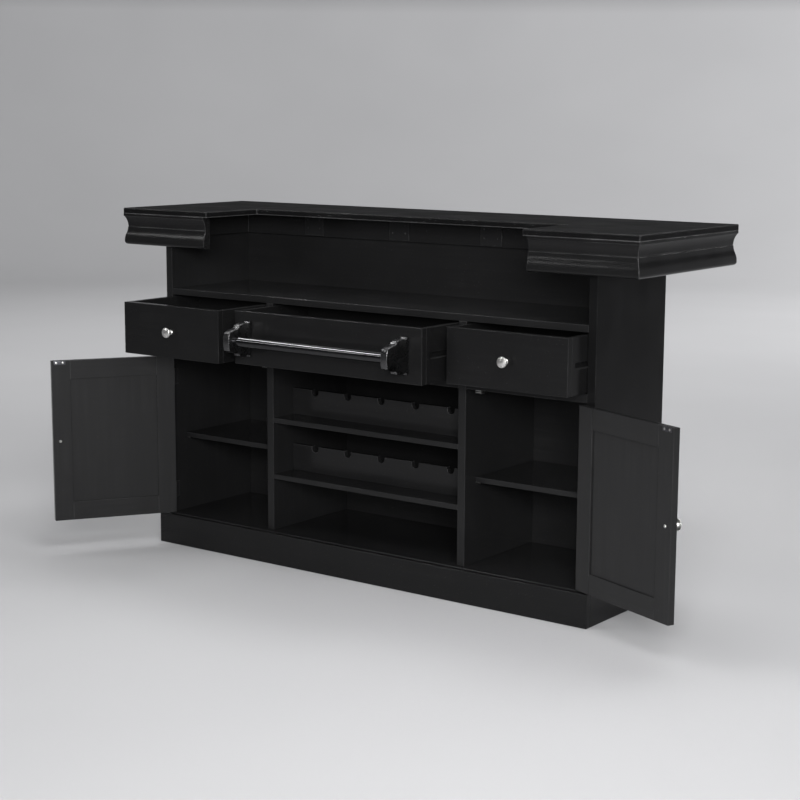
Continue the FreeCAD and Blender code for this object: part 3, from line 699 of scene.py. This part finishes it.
def cross(reach: float, half_width: float) -> Outline:
    """Return the outline of an upright cross.

    Args:
        reach: How far its arms go from the middle.
        half_width: Half of an arm's width.

    Returns:
        Its twelve corners.
    """
    quarter = [(reach, -half_width), (reach, half_width), (half_width, half_width)]
    points = []
    for _ in range(4):
        points += quarter
        quarter = [(-y, x) for x, y in quarter]
    return points


def rounded_rectangle(length: float, width: float, corner: float, steps: int = 5) -> Outline:
    """Return the outline of a rectangle with round corners.

    Args:
        length: Its size along X.
        width: Its size along Y.
        corner: The radius of its corners.
        steps: How many straight pieces make up one corner.

    Returns:
        Its points.
    """
    points = []
    for index, (sx, sy) in enumerate(((1, 1), (-1, 1), (-1, -1), (1, -1))):
        for step in range(steps + 1):
            angle = math.radians(90.0 * (index + step / steps))
            points.append((
                sx * (length / 2 - corner) + corner * math.cos(angle),
                sy * (width / 2 - corner) + corner * math.sin(angle),
            ))
    return points


def ring(shape: Shape, outline: Outline, height: float) -> Ring:
    """Return an outline's points, added to a mesh at one height."""
    return [shape.verts.new((x, y, height)) for x, y in outline]


def loft(shape: Shape, rings: list[Ring]) -> None:
    """Close the walls between rings that follow each other; a ring of one point is a tip.

    Args:
        shape: The mesh.
        rings: The rings, with as many points each, or one.
    """
    for lower, upper in zip(rings, rings[1:]):
        count = max(len(lower), len(upper))
        for index in range(count):
            follow = (index + 1) % count
            if len(lower) == 1:
                corners = (lower[0], upper[follow], upper[index])
            elif len(upper) == 1:
                corners = (lower[index], lower[follow], upper[0])
            else:
                corners = (lower[index], lower[follow], upper[follow], upper[index])
            shape.faces.new(corners)


def facing(place: Vector, way: Vector) -> Matrix:
    """Return where a fitting stands whose seat is at a point and whose +Z looks along a way."""
    return Matrix.Translation(place) @ way.to_track_quat("Z", "Y").to_matrix().to_4x4()


def link(name: str, shape: Shape, smooth_below: float = 35.0) -> Piece:
    """Turn a mesh under construction into an object in the scene.

    Args:
        name: What the object is called.
        shape: The finished mesh; it is freed.
        smooth_below: Edges that turn by fewer degrees than this are shaded smooth.

    Returns:
        The new object.
    """
    bmesh.ops.remove_doubles(shape, verts=shape.verts, dist=MERGED_WITHIN)
    bmesh.ops.recalc_face_normals(shape, faces=shape.faces)
    limit = math.radians(smooth_below)
    for face in shape.faces:
        face.smooth = True
    for edge in shape.edges:
        edge.smooth = len(edge.link_faces) == 2 and edge.calc_face_angle(0.0) < limit
    mesh = bpy.data.meshes.new(name)
    shape.to_mesh(mesh)
    shape.free()
    piece = bpy.data.objects.new(name, mesh)
    bpy.context.scene.collection.objects.link(piece)
    return piece


def fit(piece: Piece, finish: Finish, body: str, slot: str, *replaced: str) -> None:
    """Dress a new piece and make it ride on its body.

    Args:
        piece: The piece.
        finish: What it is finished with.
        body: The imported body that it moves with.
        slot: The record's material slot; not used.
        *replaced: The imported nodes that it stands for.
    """
    finish.dress(piece)
    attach(piece, body)
    if replaced:
        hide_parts(*replaced)
    log.info("%s rides on %s", piece.name, body)


def arc_between(start: Vector, end: Vector, bow: float, steps: int = 7) -> list[Vector]:
    """Return the points of an arc after its start, up to and with its end.

    Args:
        start: Where the arc starts.
        end: Where it ends.
        bow: How far its middle stands to the left of the chord; 0 is a straight line.
        steps: How many points the arc has.

    Returns:
        The points.
    """
    if not bow:
        return [end]
    chord = end - start
    aside = Vector((-chord.y, chord.x)).normalized()
    half = chord.length / 2
    radius = (half * half + bow * bow) / (2 * abs(bow))
    centre = start + chord / 2 + aside * (bow - math.copysign(radius, bow))
    sweep = 2 * math.asin(min(1.0, half / radius)) * -math.copysign(1.0, bow)
    spoke = start - centre
    turns = [Matrix.Rotation(sweep * index / steps, 2) for index in range(1, steps + 1)]
    return [centre + turn @ spoke for turn in turns]


def bowed_outline(corners: list[Point]) -> list[Vector]:
    """Return an outline through corners that are joined by arcs.

    Args:
        corners: (across, up, bow) of each; the bow is that of the stretch which leads there.

    Returns:
        Its points.
    """
    points = [Vector(corners[0][:2])]
    for across, up, bow in corners[1:]:
        points += arc_between(points[-1], Vector((across, up)), bow)
    return points


def softened_block(name: str, size: Point, place: Matrix, corner: float, edge: float) -> Piece:
    """Return a block or plate with round corners and a softened rim above and below.

    Args:
        name: What the object is called.
        size: Its length, width and thickness.
        place: Where it lies: its underside's middle at the origin, its thickness along +Z.
        corner: The radius of its corners, seen from above.
        edge: The width of its softened rims.

    Returns:
        The block.
    """
    length, width, thickness = size
    shape = bmesh.new()
    quarter = [(1.0 - math.sin(angle), 1.0 - math.cos(angle)) for angle in RIM_ANGLES]
    levels = [(edge * inset, edge * rise) for inset, rise in quarter]
    levels += [(inset, thickness - rise) for inset, rise in reversed(levels)]
    rings = []
    for inset, height in levels:
        rounding = max(corner - inset, edge * LEAST_CORNER)
        outline = rounded_rectangle(length - 2 * inset, width - 2 * inset, rounding)
        rings.append(ring(shape, outline, height))
    loft(shape, rings)
    shape.faces.new(rings[0])
    shape.faces.new(rings[-1])
    shape.transform(place)
    return link(name, shape)


def turned(name: str, profile: list[Vector], place: Matrix, facets: int = 64) -> Piece:
    """Return a solid turned about an axis, like work from a lathe.

    Args:
        name: What the object is called.
        profile: (radius, height) points from the foot's middle to the top's middle.
        place: Where the axis stands; the heights run along its Z.
        facets: How many facets go round.

    Returns:
        The turned object.
    """
    shape = bmesh.new()
    rings = []
    for radius, height in profile:
        outline = circle(radius, facets) if radius > 0 else [(0.0, 0.0)]
        rings.append(ring(shape, outline, height))
    loft(shape, rings)
    shape.transform(place)
    return link(name, shape)


@dataclass(frozen=True)
class Screw:
    """The head of a cross-head screw."""

    radius: float
    rise: float
    cross_depth: float
    dome: tuple[tuple[float, float], ...] = (
        (0.97, -0.1), (1.0, 0.0), (1.0, 0.25), (0.93, 0.55), (0.80, 0.80), (0.62, 1.0),
    )
    cross_reach: float = 0.50
    cross_half_width: float = 0.11
    cross_taper: float = 0.75
    smooth_below: float = 25.0

    def heads(self, name: str, places: list[Matrix]) -> Piece:
        """Return one mesh of equal heads.

        Args:
            name: What the object is called.
            places: Where each stands: its seat at the origin, its crown along +Z.

        Returns:
            The heads.
        """
        shape = bmesh.new()
        for place in places:
            older = len(shape.verts)
            self.add_head(shape)
            shape.verts.ensure_lookup_table()
            bmesh.ops.transform(shape, matrix=place, verts=shape.verts[older:])
        return link(name, shape, self.smooth_below)

    def add_head(self, shape: Shape) -> None:
        """Add one head at the origin, with a cross sunk in its crown.

        Args:
            shape: The mesh.
        """
        rings = [
            ring(shape, circle(self.radius * share), self.rise * up) for share, up in self.dome
        ]
        loft(shape, rings)
        shape.faces.new(rings[0])
        reach, half_width = self.radius * self.cross_reach, self.radius * self.cross_half_width
        rim = ring(shape, cross(reach, half_width), self.rise)
        low = cross(reach * self.cross_taper, half_width * self.cross_taper)
        floor = ring(shape, low, self.rise - self.cross_depth)
        loft(shape, [rim, floor])
        shape.faces.new(floor)
        edges = []
        for loop in (rings[-1], rim):
            edges += [shape.edges.get(pair) for pair in zip(loop, loop[1:] + loop[:1])]
        bmesh.ops.bridge_loops(shape, edges=edges)


PAN_SCREW = Screw(radius=4.5 * MM, rise=3.0 * MM, cross_depth=1.6 * MM)
SMALL_SCREW = Screw(radius=3.0 * MM, rise=1.5 * MM, cross_depth=0.9 * MM)
SUNK_SCREW = Screw(radius=2.6 * MM, rise=0.2 * MM, cross_depth=0.15 * MM)
STRIKE_SCREW = Screw(radius=3.4 * MM, rise=0.4 * MM, cross_depth=0.3 * MM)


# Sub-assemblies


@dataclass
class Knob:
    """A turned knob and the screw that holds it from behind a front."""

    front_thickness: float = 20.0 * MM
    profile: tuple[tuple[float, float, float], ...] = (
        (0.0, 0.0, 0.0),
        (7.6, 0.0, 0.0),
        (8.0, 0.4, 0.0),
        (8.0, 1.3, -0.1),
        (5.5, 7.5, 1.0),
        (15.0, 18.4, 1.5),
        (15.5, 19.6, -0.2),
        (15.1, 21.0, -0.2),
        (12.5, 23.0, -0.6),
        (0.0, 26.0, -0.75),
    )

    def fasten(self, name: str, seat: Matrix, body: str, replaced: str) -> None:
        """Put a knob on a front, with its screw behind.

        Args:
            name: What the knob is called.
            seat: The middle of its foot on the front, with the knob along +Z.
            body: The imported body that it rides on.
            replaced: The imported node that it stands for.
        """
        corners = [tuple(value * MM for value in corner) for corner in self.profile]
        knob = turned(name, bowed_outline(corners), seat)
        fit(knob, NICKEL, body, "brushed_nickel", replaced)
        behind = Matrix.Translation((0.0, 0.0, -self.front_thickness))
        behind = behind @ Matrix.Rotation(math.pi, 4, "X")
        screw = PAN_SCREW.heads(f"{name}_screw", [seat @ behind])
        fit(screw, ZINC, body, "brushed_nickel", replaced)


@dataclass
class Cabinet:
    """The fixed carcass: boards, shelves, racks, plinth and the top with its mouldings."""

    level: tuple[str, ...] = (
        "drawer_rails", "plinth_front", "plinth_customer_side", "moulding_customer_side",
        "moulding_left_arm", "moulding_right_arm",
    )
    inner_level: tuple[str, ...] = (
        "customer_panel", "cabinet_floor", "work_shelf", "top_cleats", "left_bay_shelf",
        "right_bay_shelf", "lower_wine_shelf", "upper_wine_shelf", "lower_neck_rail",
        "upper_neck_rail",
    )
    from_front: tuple[str, ...] = (
        "floor_bearers", "plinth_left_end", "plinth_right_end", "moulding_left_end",
        "moulding_right_end", "drawer_runners",
    )
    upright: tuple[str, ...] = ("right_side_panel",)
    inner_upright: tuple[str, ...] = ("left_side_panel", "left_divider", "right_divider")

    def build(self) -> None:
        """Paint the boards and plate the shelf pins."""
        # Inner boards get paint lightened as painted fill light, the right end panel paint
        # darkened as painted shade, and the top paint darkened as painted shade with a painted
        # edge highlight.
        for names, paint in (
            (self.level, LEVEL_PAINT), (self.inner_level, INNER_LEVEL_PAINT),
            (self.from_front, DEPTH_PAINT), (self.upright, UPRIGHT_PAINT),
            (self.inner_upright, INNER_UPRIGHT_PAINT), (("top_slab",), TOP_PAINT),
        ):
            paint.dress(*(frame["nodes"][name] for name in names))
        ZINC.dress(frame["nodes"]["shelf_pins"])


@dataclass
class TopBrackets:
    """The screws of the steel angles under the top: four in each leg, two in each arm."""

    count: int = 4
    pitch: float = 340.0 * MM
    width: float = 75.0 * MM
    gauge: float = 2.5 * MM
    screw_reach: float = 24.0 * MM
    leg_drops: tuple[float, ...] = (20.0 * MM, 46.0 * MM)
    arm_setback: float = 10.0 * MM

    def build(self) -> None:
        """Finish the angles and put in their screws."""
        low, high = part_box("top_brackets")
        ENAMEL.dress(frame["nodes"]["top_brackets"])
        places = []
        for index in range(self.count):
            middle = low.x + self.width / 2 + index * self.pitch
            for x in (middle - self.screw_reach, middle + self.screw_reach):
                for drop in self.leg_drops:
                    seat = Vector((x, high.y - self.gauge, high.z - drop))
                    places.append(facing(seat, TO_SERVER))
                seat = Vector((x, low.y + self.arm_setback, high.z - self.gauge))
                places.append(facing(seat, DOWN))
        fit(SMALL_SCREW.heads("top_bracket_screws", places), ENAMEL, "cabinet", "black_metal")


@dataclass
class Catch:
    """A magnetic catch under a drawer rail: a case with ears, two steel poles and two screws."""

    side: Side
    ear_thickness: float = 3.5 * MM
    ear_width: float = 10.0 * MM
    case_length: float = 24.0 * MM
    case_setback: float = 0.8 * MM
    pole_size: Point = (18.0 * MM, 6.0 * MM, 1.4 * MM)
    pole_rises: tuple[float, ...] = (3.2 * MM, 8.4 * MM)
    length: float = 37.0 * MM
    ear_rounding: Range = (4.0 * MM, 0.5 * MM)
    case_rounding: Range = (1.5 * MM, 0.6 * MM)
    pole_rounding: Range = (0.5 * MM, 0.2 * MM)

    def build(self) -> None:
        """Make the catch in the place of its packed case."""
        low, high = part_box("magnetic_catches")
        word = self.side.word
        x = self.side.value * (high.x - self.length / 2)
        y = (low.y + high.y) / 2
        depth = high.y - low.y - self.case_setback
        ears = Matrix.Translation((x, y, high.z - self.ear_thickness))
        size = (self.length, self.ear_width, self.ear_thickness)
        block = softened_block(f"catch_ears_{word}", size, ears, *self.ear_rounding)
        made = [(block, PLASTIC)]
        case = Matrix.Translation((x, y + self.case_setback / 2, low.z))
        size = (self.case_length, depth, high.z - low.z)
        block = softened_block(f"catch_case_{word}", size, case, *self.case_rounding)
        made.append((block, PLASTIC))
        for number, rise in enumerate(self.pole_rises, 1):
            pole = Matrix.Translation((x, low.y + self.pole_size[1] / 2, low.z + rise))
            name = f"catch_pole_{word}_{number}"
            block = softened_block(name, self.pole_size, pole, *self.pole_rounding)
            made.append((block, ZINC))
        reach = (self.length + self.case_length) / 4
        seats = [Vector((x + way * reach, y, high.z - self.ear_thickness)) for way in (-1, 1)]
        places = [facing(seat, DOWN) for seat in seats]
        made.append((SUNK_SCREW.heads(f"catch_screws_{word}", places), ZINC))
        for piece, finish in made:
            slot = "black_plastic" if finish is PLASTIC else "zinc_steel"
            fit(piece, finish, "cabinet", slot, "magnetic_catches")


@dataclass
class Drawer:
    """One drawer: its boards and, on the outer two, a turned knob."""

    bay: Bay

    @property
    def name(self) -> str:
        """Return the bay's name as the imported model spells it."""
        return self.bay.value

    def node(self, part: str) -> Piece:
        """Return one of the drawer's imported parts."""
        return frame["nodes"][f"{self.name}_drawer_{part}"]

    def build(self) -> None:
        """Paint the drawer's boards and put on its knob."""
        LEVEL_PAINT.dress(self.node("front"), self.node("back"), self.node("bottom"))
        DEPTH_PAINT.dress(self.node("sides"))
        if self.bay is Bay.CENTRE:
            return
        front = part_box(f"{self.name}_drawer_front")[0].y
        low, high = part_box(f"{self.name}_drawer_knob")
        seat = Vector(((low.x + high.x) / 2, front, (low.z + high.z) / 2))
        knob = f"{self.name}_drawer_knob"
        Knob().fasten(f"{knob}_turned", facing(seat, TO_SERVER), f"{self.name}_drawer", knob)


@dataclass
class TowelBar:
    """The round bar on the middle drawer with its two stepped brackets and four screws."""

    body: str = "centre_drawer"
    thickness: float = 22.0 * MM
    softened: float = 1.3 * MM
    screw_spacing: float = 70.0 * MM
    softening_steps: int = 3
    softened_above: float = 22.0
    smooth_below: float = 30.0
    off_the_foot: float = 0.01 * MM
    outline: tuple[Point, ...] = (
        (0, 52, 0), (-8, 52, 0), (-15, 46, 1.2), (-52, 45, -3.0), (-62, 35, 1.5), (-96, 26, -2.5),
    )
    nose_bow: float = -4.0

    def bracket_points(self) -> list[Vector]:
        """Return the stepped outline of a bracket.

        Returns:
            The (y, z) points round it.
        """
        bows = [self.nose_bow] + [bow for _, _, bow in reversed(self.outline[1:])]
        lower = [(y, -z, bow) for (y, z, _), bow in zip(reversed(self.outline), bows)]
        corners = [tuple(value * MM for value in corner) for corner in (*self.outline, *lower)]
        return bowed_outline(corners)

    def bracket(self, side: Side, middle: Vector) -> Piece:
        """Return one bracket with softened edges.

        Args:
            side: Which end of the bar it holds.
            middle: The middle of its foot on the drawer's front.

        Returns:
            The bracket.
        """
        shape = bmesh.new()
        outline = [(point.x, point.y) for point in self.bracket_points()]
        half = self.thickness / 2
        faces = [ring(shape, outline, height) for height in (-half, half)]
        loft(shape, faces)
        for face in faces:
            shape.faces.new(face)
        bmesh.ops.recalc_face_normals(shape, faces=shape.faces)
        sharp = [
            edge for edge in shape.edges
            if edge.calc_face_angle(0.0) > math.radians(self.softened_above)
            and max(end.co.x for end in edge.verts) < -self.off_the_foot
        ]
        bmesh.ops.bevel(
            shape, geom=sharp, offset=self.softened, offset_type="OFFSET",
            segments=self.softening_steps, profile=0.5, affect="EDGES", clamp_overlap=True,
        )
        upright = Matrix(((0, 0, 1), (1, 0, 0), (0, 1, 0))).to_4x4()
        shape.transform(Matrix.Translation(middle) @ upright)
        return link(f"towel_bar_bracket_{side.word}", shape, self.smooth_below)

    def build(self) -> None:
        """Make the brackets and their screws, and plate them with the bar."""
        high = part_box("towel_bar_brackets")[1]
        bar_low, bar_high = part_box("towel_bar")
        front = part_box("centre_drawer_front")[0].y
        height = (bar_low.z + bar_high.z) / 2
        reach = high.x - self.thickness / 2
        inside = high.y - PAN_SCREW.rise
        places = []
        for side in Side:
            x = side.value * reach
            bracket = self.bracket(side, Vector((x, front, height)))
            fit(bracket, SATIN_CHROME, self.body, "chrome", "towel_bar_brackets")
            for rise in (-self.screw_spacing / 2, self.screw_spacing / 2):
                places.append(facing(Vector((x, inside, height + rise)), TO_CUSTOMERS))
        screws = PAN_SCREW.heads("towel_bar_screws", places)
        fit(screws, ZINC, self.body, "zinc_steel", "towel_bar_brackets")
        CHROME.dress(frame["nodes"]["towel_bar"])


@dataclass
class HingeLeaf:
    """Where the screws sit in a butt hinge's leaf: three, the middle one farther in."""

    length: float = 51.0 * MM
    gauge: float = 1.2 * MM
    gap: float = 3.0 * MM
    seats: tuple[tuple[float, float], ...] = ((6.0, 8.5), (12.0, 25.5), (6.0, 42.5))

    def places(self, x: float, front: float, foot: float, way: float) -> list[Matrix]:
        """Return where the screws of one leaf stand.

        Args:
            x: The face of the leaf.
            front: The front edge of the leaf.
            foot: The lower end of the leaf.
            way: 1 where the screws face +X, -1 where they face -X.

        Returns:
            Their places.
        """
        return [
            facing(Vector((x, front + inward * MM, foot + rise * MM)), Vector((way, 0, 0)))
            for inward, rise in self.seats
        ]

    def feet(self) -> tuple[float, float]:
        """Return the lower ends of the two hinges of a door."""
        low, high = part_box("side_hinge_leaves")
        return low.z, high.z - self.length


@dataclass
class Hinges:
    """The leaves on the side panels with their screws, and the pins."""

    leaf: HingeLeaf = field(default_factory=HingeLeaf)

    def build(self) -> None:
        """Enamel the leaves and pins, and put in the screws."""
        ENAMEL.dress(frame["nodes"]["side_hinge_leaves"], frame["nodes"]["hinge_pins"])
        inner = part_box("side_hinge_leaves")[1].x - self.leaf.gauge
        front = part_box("right_side_panel")[0].y
        places = []
        for side in Side:
            for foot in self.leaf.feet():
                places += self.leaf.places(side.value * inner, front, foot, -side.value)
        fit(SUNK_SCREW.heads("side_hinge_screws", places), ENAMEL, "cabinet", "black_metal")


@dataclass
class Door:
    """One framed door with its knob, strike plate and hinge leaves."""

    side: Side
    free_gap: float = 2.0 * MM
    thickness: float = 20.0 * MM
    knob_inset: float = 22.0 * MM
    strike_size: Point = (37.0 * MM, 12.0 * MM, 1.0 * MM)
    strike_inset: float = 7.0 * MM
    strike_drop: float = 0.5 * MM
    strike_screws: tuple[float, ...] = (-10.0 * MM, 10.0 * MM)
    strike_rounding: Range = (2.5 * MM, 0.3 * MM)
    leaf: HingeLeaf = field(default_factory=HingeLeaf)

    @property
    def body(self) -> str:
        """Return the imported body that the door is."""
        return f"{self.side.word}_door"

    @property
    def hinge(self) -> dict:
        """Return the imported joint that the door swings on."""
        return next(joint for joint in frame["joints"] if joint["child"] == self.body)

    @property
    def opened(self) -> float:
        """Return how many degrees about +Z the door has been swung from where it is shut."""
        return -self.hinge["range_deg"][0] * self.side.value

    def swing(self) -> Matrix:
        """Return the move that takes a fitting from the shut door to where the door rests."""
        axis = Vector(self.hinge["pos_m"])
        turn = Matrix.Rotation(math.radians(self.opened), 4, "Z")
        return Matrix.Translation(axis) @ turn @ Matrix.Translation(-axis)

    def node(self, part: str) -> Piece:
        """Return one of the door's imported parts."""
        return frame["nodes"][f"{self.body}_{part}"]

    def build(self) -> None:
        """Paint the frame and the panel along their own grain, and put on the fittings."""
        word = self.side.word
        # Door paint is lightened as painted light on the door's faces.
        name = f"black paint on the {word} door's rails"
        BlackPaint(name, turn=self.opened, **DOOR_PAINTED_LIGHT_TONES).dress(self.node("rails"))
        DOOR_PAINT.dress(self.node("stiles"), self.node("panel"))
        ENAMEL.dress(self.node("hinge_leaves"))
        self.fit_knob()
        self.fit_strike_plate()
        self.fit_hinge_screws()

    def fit_knob(self) -> None:
        """Put the knob on the door's outer face."""
        low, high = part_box(f"{self.body}_stiles")
        x = self.side.value * (self.free_edge() + self.knob_inset)
        seat = Vector((x, self.front(), (low.z + high.z) / 2))
        place = self.swing() @ facing(seat, TO_SERVER)
        knob = f"{self.body}_knob"
        Knob(self.thickness).fasten(f"{knob}_turned", place, self.body, knob)

    def fit_strike_plate(self) -> None:
        """Put the strike plate with its two screws on the door's inner face."""
        length, width, gauge = self.strike_size
        x = self.side.value * (self.free_edge() + self.strike_inset + length / 2)
        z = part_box(f"{self.body}_stiles")[1].z - self.strike_drop - width / 2
        seat = Vector((x, self.front() + self.thickness, z))
        place = self.swing() @ facing(seat, TO_CUSTOMERS)
        place = place @ Matrix.Rotation(self.plate_roll(place), 4, "Z")
        node = f"{self.body}_strike_plate"
        plate = softened_block(f"{node}_rounded", self.strike_size, place, *self.strike_rounding)
        fit(plate, BLUED_STEEL, self.body, "zinc_steel", node)
        seats = [place @ Matrix.Translation((x, 0.0, gauge)) for x in self.strike_screws]
        fit(STRIKE_SCREW.heads(f"{node}_screws", seats), ZINC, self.body, "zinc_steel", node)

    @staticmethod
    def plate_roll(place: Matrix) -> float:
        """Return the turn about a plate's own +Z that lays its length level."""
        return 0.0 if abs(place.col[0].z) < abs(place.col[1].z) else math.pi / 2

    def fit_hinge_screws(self) -> None:
        """Put the screws in the leaves on the door's edge."""
        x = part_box("right_side_panel")[0].x - self.leaf.gap + self.leaf.gauge
        places = []
        for foot in self.leaf.feet():
            places += self.leaf.places(self.side.value * x, self.front(), foot, self.side.value)
        places = [self.swing() @ place for place in places]
        screws = SUNK_SCREW.heads(f"{self.body}_hinge_screws", places)
        fit(screws, ENAMEL, self.body, "black_metal")

    def free_edge(self) -> float:
        """Return how far the shut door's free edge is from the counter's middle."""
        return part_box("right_divider")[1].x + self.free_gap

    def front(self) -> float:
        """Return where the outer face of the shut door lies along Y."""
        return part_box("right_side_panel")[0].y


# Studio


@dataclass
class SoftBox:
    """A soft rectangular light aimed at a point."""

    name: str
    place: Point
    aim: Point
    size: Range
    power: float
    spread: float = 180.0

    def hang(self) -> None:
        """Add the light to the scene."""
        data = bpy.data.lights.new(self.name, "AREA")
        data.shape = "RECTANGLE"
        data.size, data.size_y = self.size
        data.energy = self.power
        data.spread = math.radians(self.spread)
        lamp = bpy.data.objects.new(self.name, data)
        lamp.location = self.place
        way = Vector(self.aim) - Vector(self.place)
        lamp.rotation_euler = way.to_track_quat("-Z", "Y").to_euler()
        bpy.context.scene.collection.objects.link(lamp)


@dataclass
class Studio:
    """The floor that sweeps up all round, the soft lights and the camera."""

    floor_radius: float = 9.0
    sweep_radius: float = 5.0
    wall_height: float = 6.0
    floor_steps: int = 12
    sweep_steps: int = 24
    facets: int = 96
    camera_place: Point = (3.0960, -4.1401, 1.3829)
    yaw: float = 36.714
    pitch: float = 9.513
    roll: float = 0.279
    lens: float = 78.40
    sensor_width: float = 36.0
    sees_to: float = 100.0
    air: Colour = (0.97, 0.98, 1.0)
    air_strength: float = 0.26
    lights: list[SoftBox] = field(default_factory=lambda: [
        SoftBox("high strip", (-2.2, -1.3, 3.4), (0.0, -0.3, 0.7), (3.2, 0.08), 6.5, 60.0),
        SoftBox("front strip", (-2.9, -3.0, 2.6), (0.0, -0.3, 0.8), (3.4, 0.09), 3.8, 60.0),
        SoftBox("rear strip", (1.7, 3.6, 3.7), (1.0, 0.2, 1.0), (0.12, 2.4), 18.0),
        SoftBox("camera side fill", (3.9, -5.2, 2.2), (0.0, 0.0, 0.5), (2.4, 1.6), 430.0),
        SoftBox("serving side softbox", (2.4, -1.5, 3.7), (0.9, -0.9, 0.0), (2.0, 1.6), 72.0),
        SoftBox("overhead softbox", (0.3, 1.3, 4.4), (0.6, -0.6, 0.0), (2.0, 1.4), 62.0),
        SoftBox("far floor softbox", (-3.0, 2.6, 5.6), (-6.6, 7.0, 0.0), (4.0, 3.0), 255.0),
        SoftBox("backdrop softbox", (3.0, 8.0, 4.5), (-4.0, 12.5, 0.5), (3.0, 2.0), 640.0),
    ])

    def lay_floor(self) -> None:
        """Make the floor as a wide dish whose rim rises into a wall."""
        shape = bmesh.new()
        steps = range(1, self.floor_steps + 1)
        profile = [(self.floor_radius * step / self.floor_steps, 0.0) for step in steps]
        for step in range(1, self.sweep_steps + 1):
            angle = math.radians(90.0 * step / self.sweep_steps)
            profile.append((
                self.floor_radius + self.sweep_radius * math.sin(angle),
                self.sweep_radius * (1 - math.cos(angle)),
            ))
        rim = self.floor_radius + self.sweep_radius
        profile.append((rim, self.sweep_radius + self.wall_height))
        rings = [ring(shape, [(0.0, 0.0)], 0.0)]
        rings += [ring(shape, circle(radius, self.facets), height) for radius, height in profile]
        loft(shape, rings)
        floor = link("studio_floor", shape)
        floor.data.flip_normals()
        StudioFloor("pale studio floor").dress(floor)

    def light(self) -> None:
        """Fill the room with even light and hang the softboxes."""
        world = bpy.data.worlds.new("studio air")
        world.use_nodes = True
        air = next(node for node in world.node_tree.nodes if node.type == "BACKGROUND")
        air.inputs["Color"].default_value = (*self.air, 1.0)
        air.inputs["Strength"].default_value = self.air_strength
        bpy.context.scene.world = world
        for softbox in self.lights:
            softbox.hang()

    def set_camera(self) -> None:
        """Stand the camera where the counter is seen from the serving side, to its right."""
        yaw, pitch, roll = (math.radians(angle) for angle in (self.yaw, self.pitch, self.roll))
        ahead = Vector((
            -math.sin(yaw) * math.cos(pitch), math.cos(yaw) * math.cos(pitch), -math.sin(pitch)
        ))
        across = Vector((math.cos(yaw), math.sin(yaw), 0.0))
        up = across.cross(ahead)
        right = across * math.cos(roll) + up * math.sin(roll)
        top = up * math.cos(roll) - across * math.sin(roll)
        turn = Matrix((right, top, -ahead)).transposed().to_4x4()
        data = bpy.data.cameras.new("studio camera")
        data.lens = self.lens
        data.sensor_width = self.sensor_width
        data.clip_end = self.sees_to
        camera = bpy.data.objects.new("studio camera", data)
        camera.matrix_world = Matrix.Translation(self.camera_place) @ turn
        bpy.context.scene.collection.objects.link(camera)
        bpy.context.scene.camera = camera

    def build(self) -> None:
        """Make the whole studio."""
        self.set_camera()
        self.lay_floor()
        self.light()
        bpy.context.scene.view_settings.view_transform = "Standard"


def main() -> None:
    """Build the studio and finish each sub-assembly in turn."""
    logging.basicConfig(level=logging.INFO, format="%(name)s: %(message)s")
    assemblies = [
        ("studio", Studio()),
        ("cabinet", Cabinet()),
        ("top brackets", TopBrackets()),
        ("left catch", Catch(Side.LEFT)),
        ("right catch", Catch(Side.RIGHT)),
        ("left drawer", Drawer(Bay.LEFT)),
        ("centre drawer", Drawer(Bay.CENTRE)),
        ("right drawer", Drawer(Bay.RIGHT)),
        ("towel bar", TowelBar()),
        ("hinges", Hinges()),
        ("left door", Door(Side.LEFT)),
        ("right door", Door(Side.RIGHT)),
    ]
    for name, assembly in assemblies:
        assembly.build()
        log.info("%s done", name)


if __name__ == "__main__":
    main()
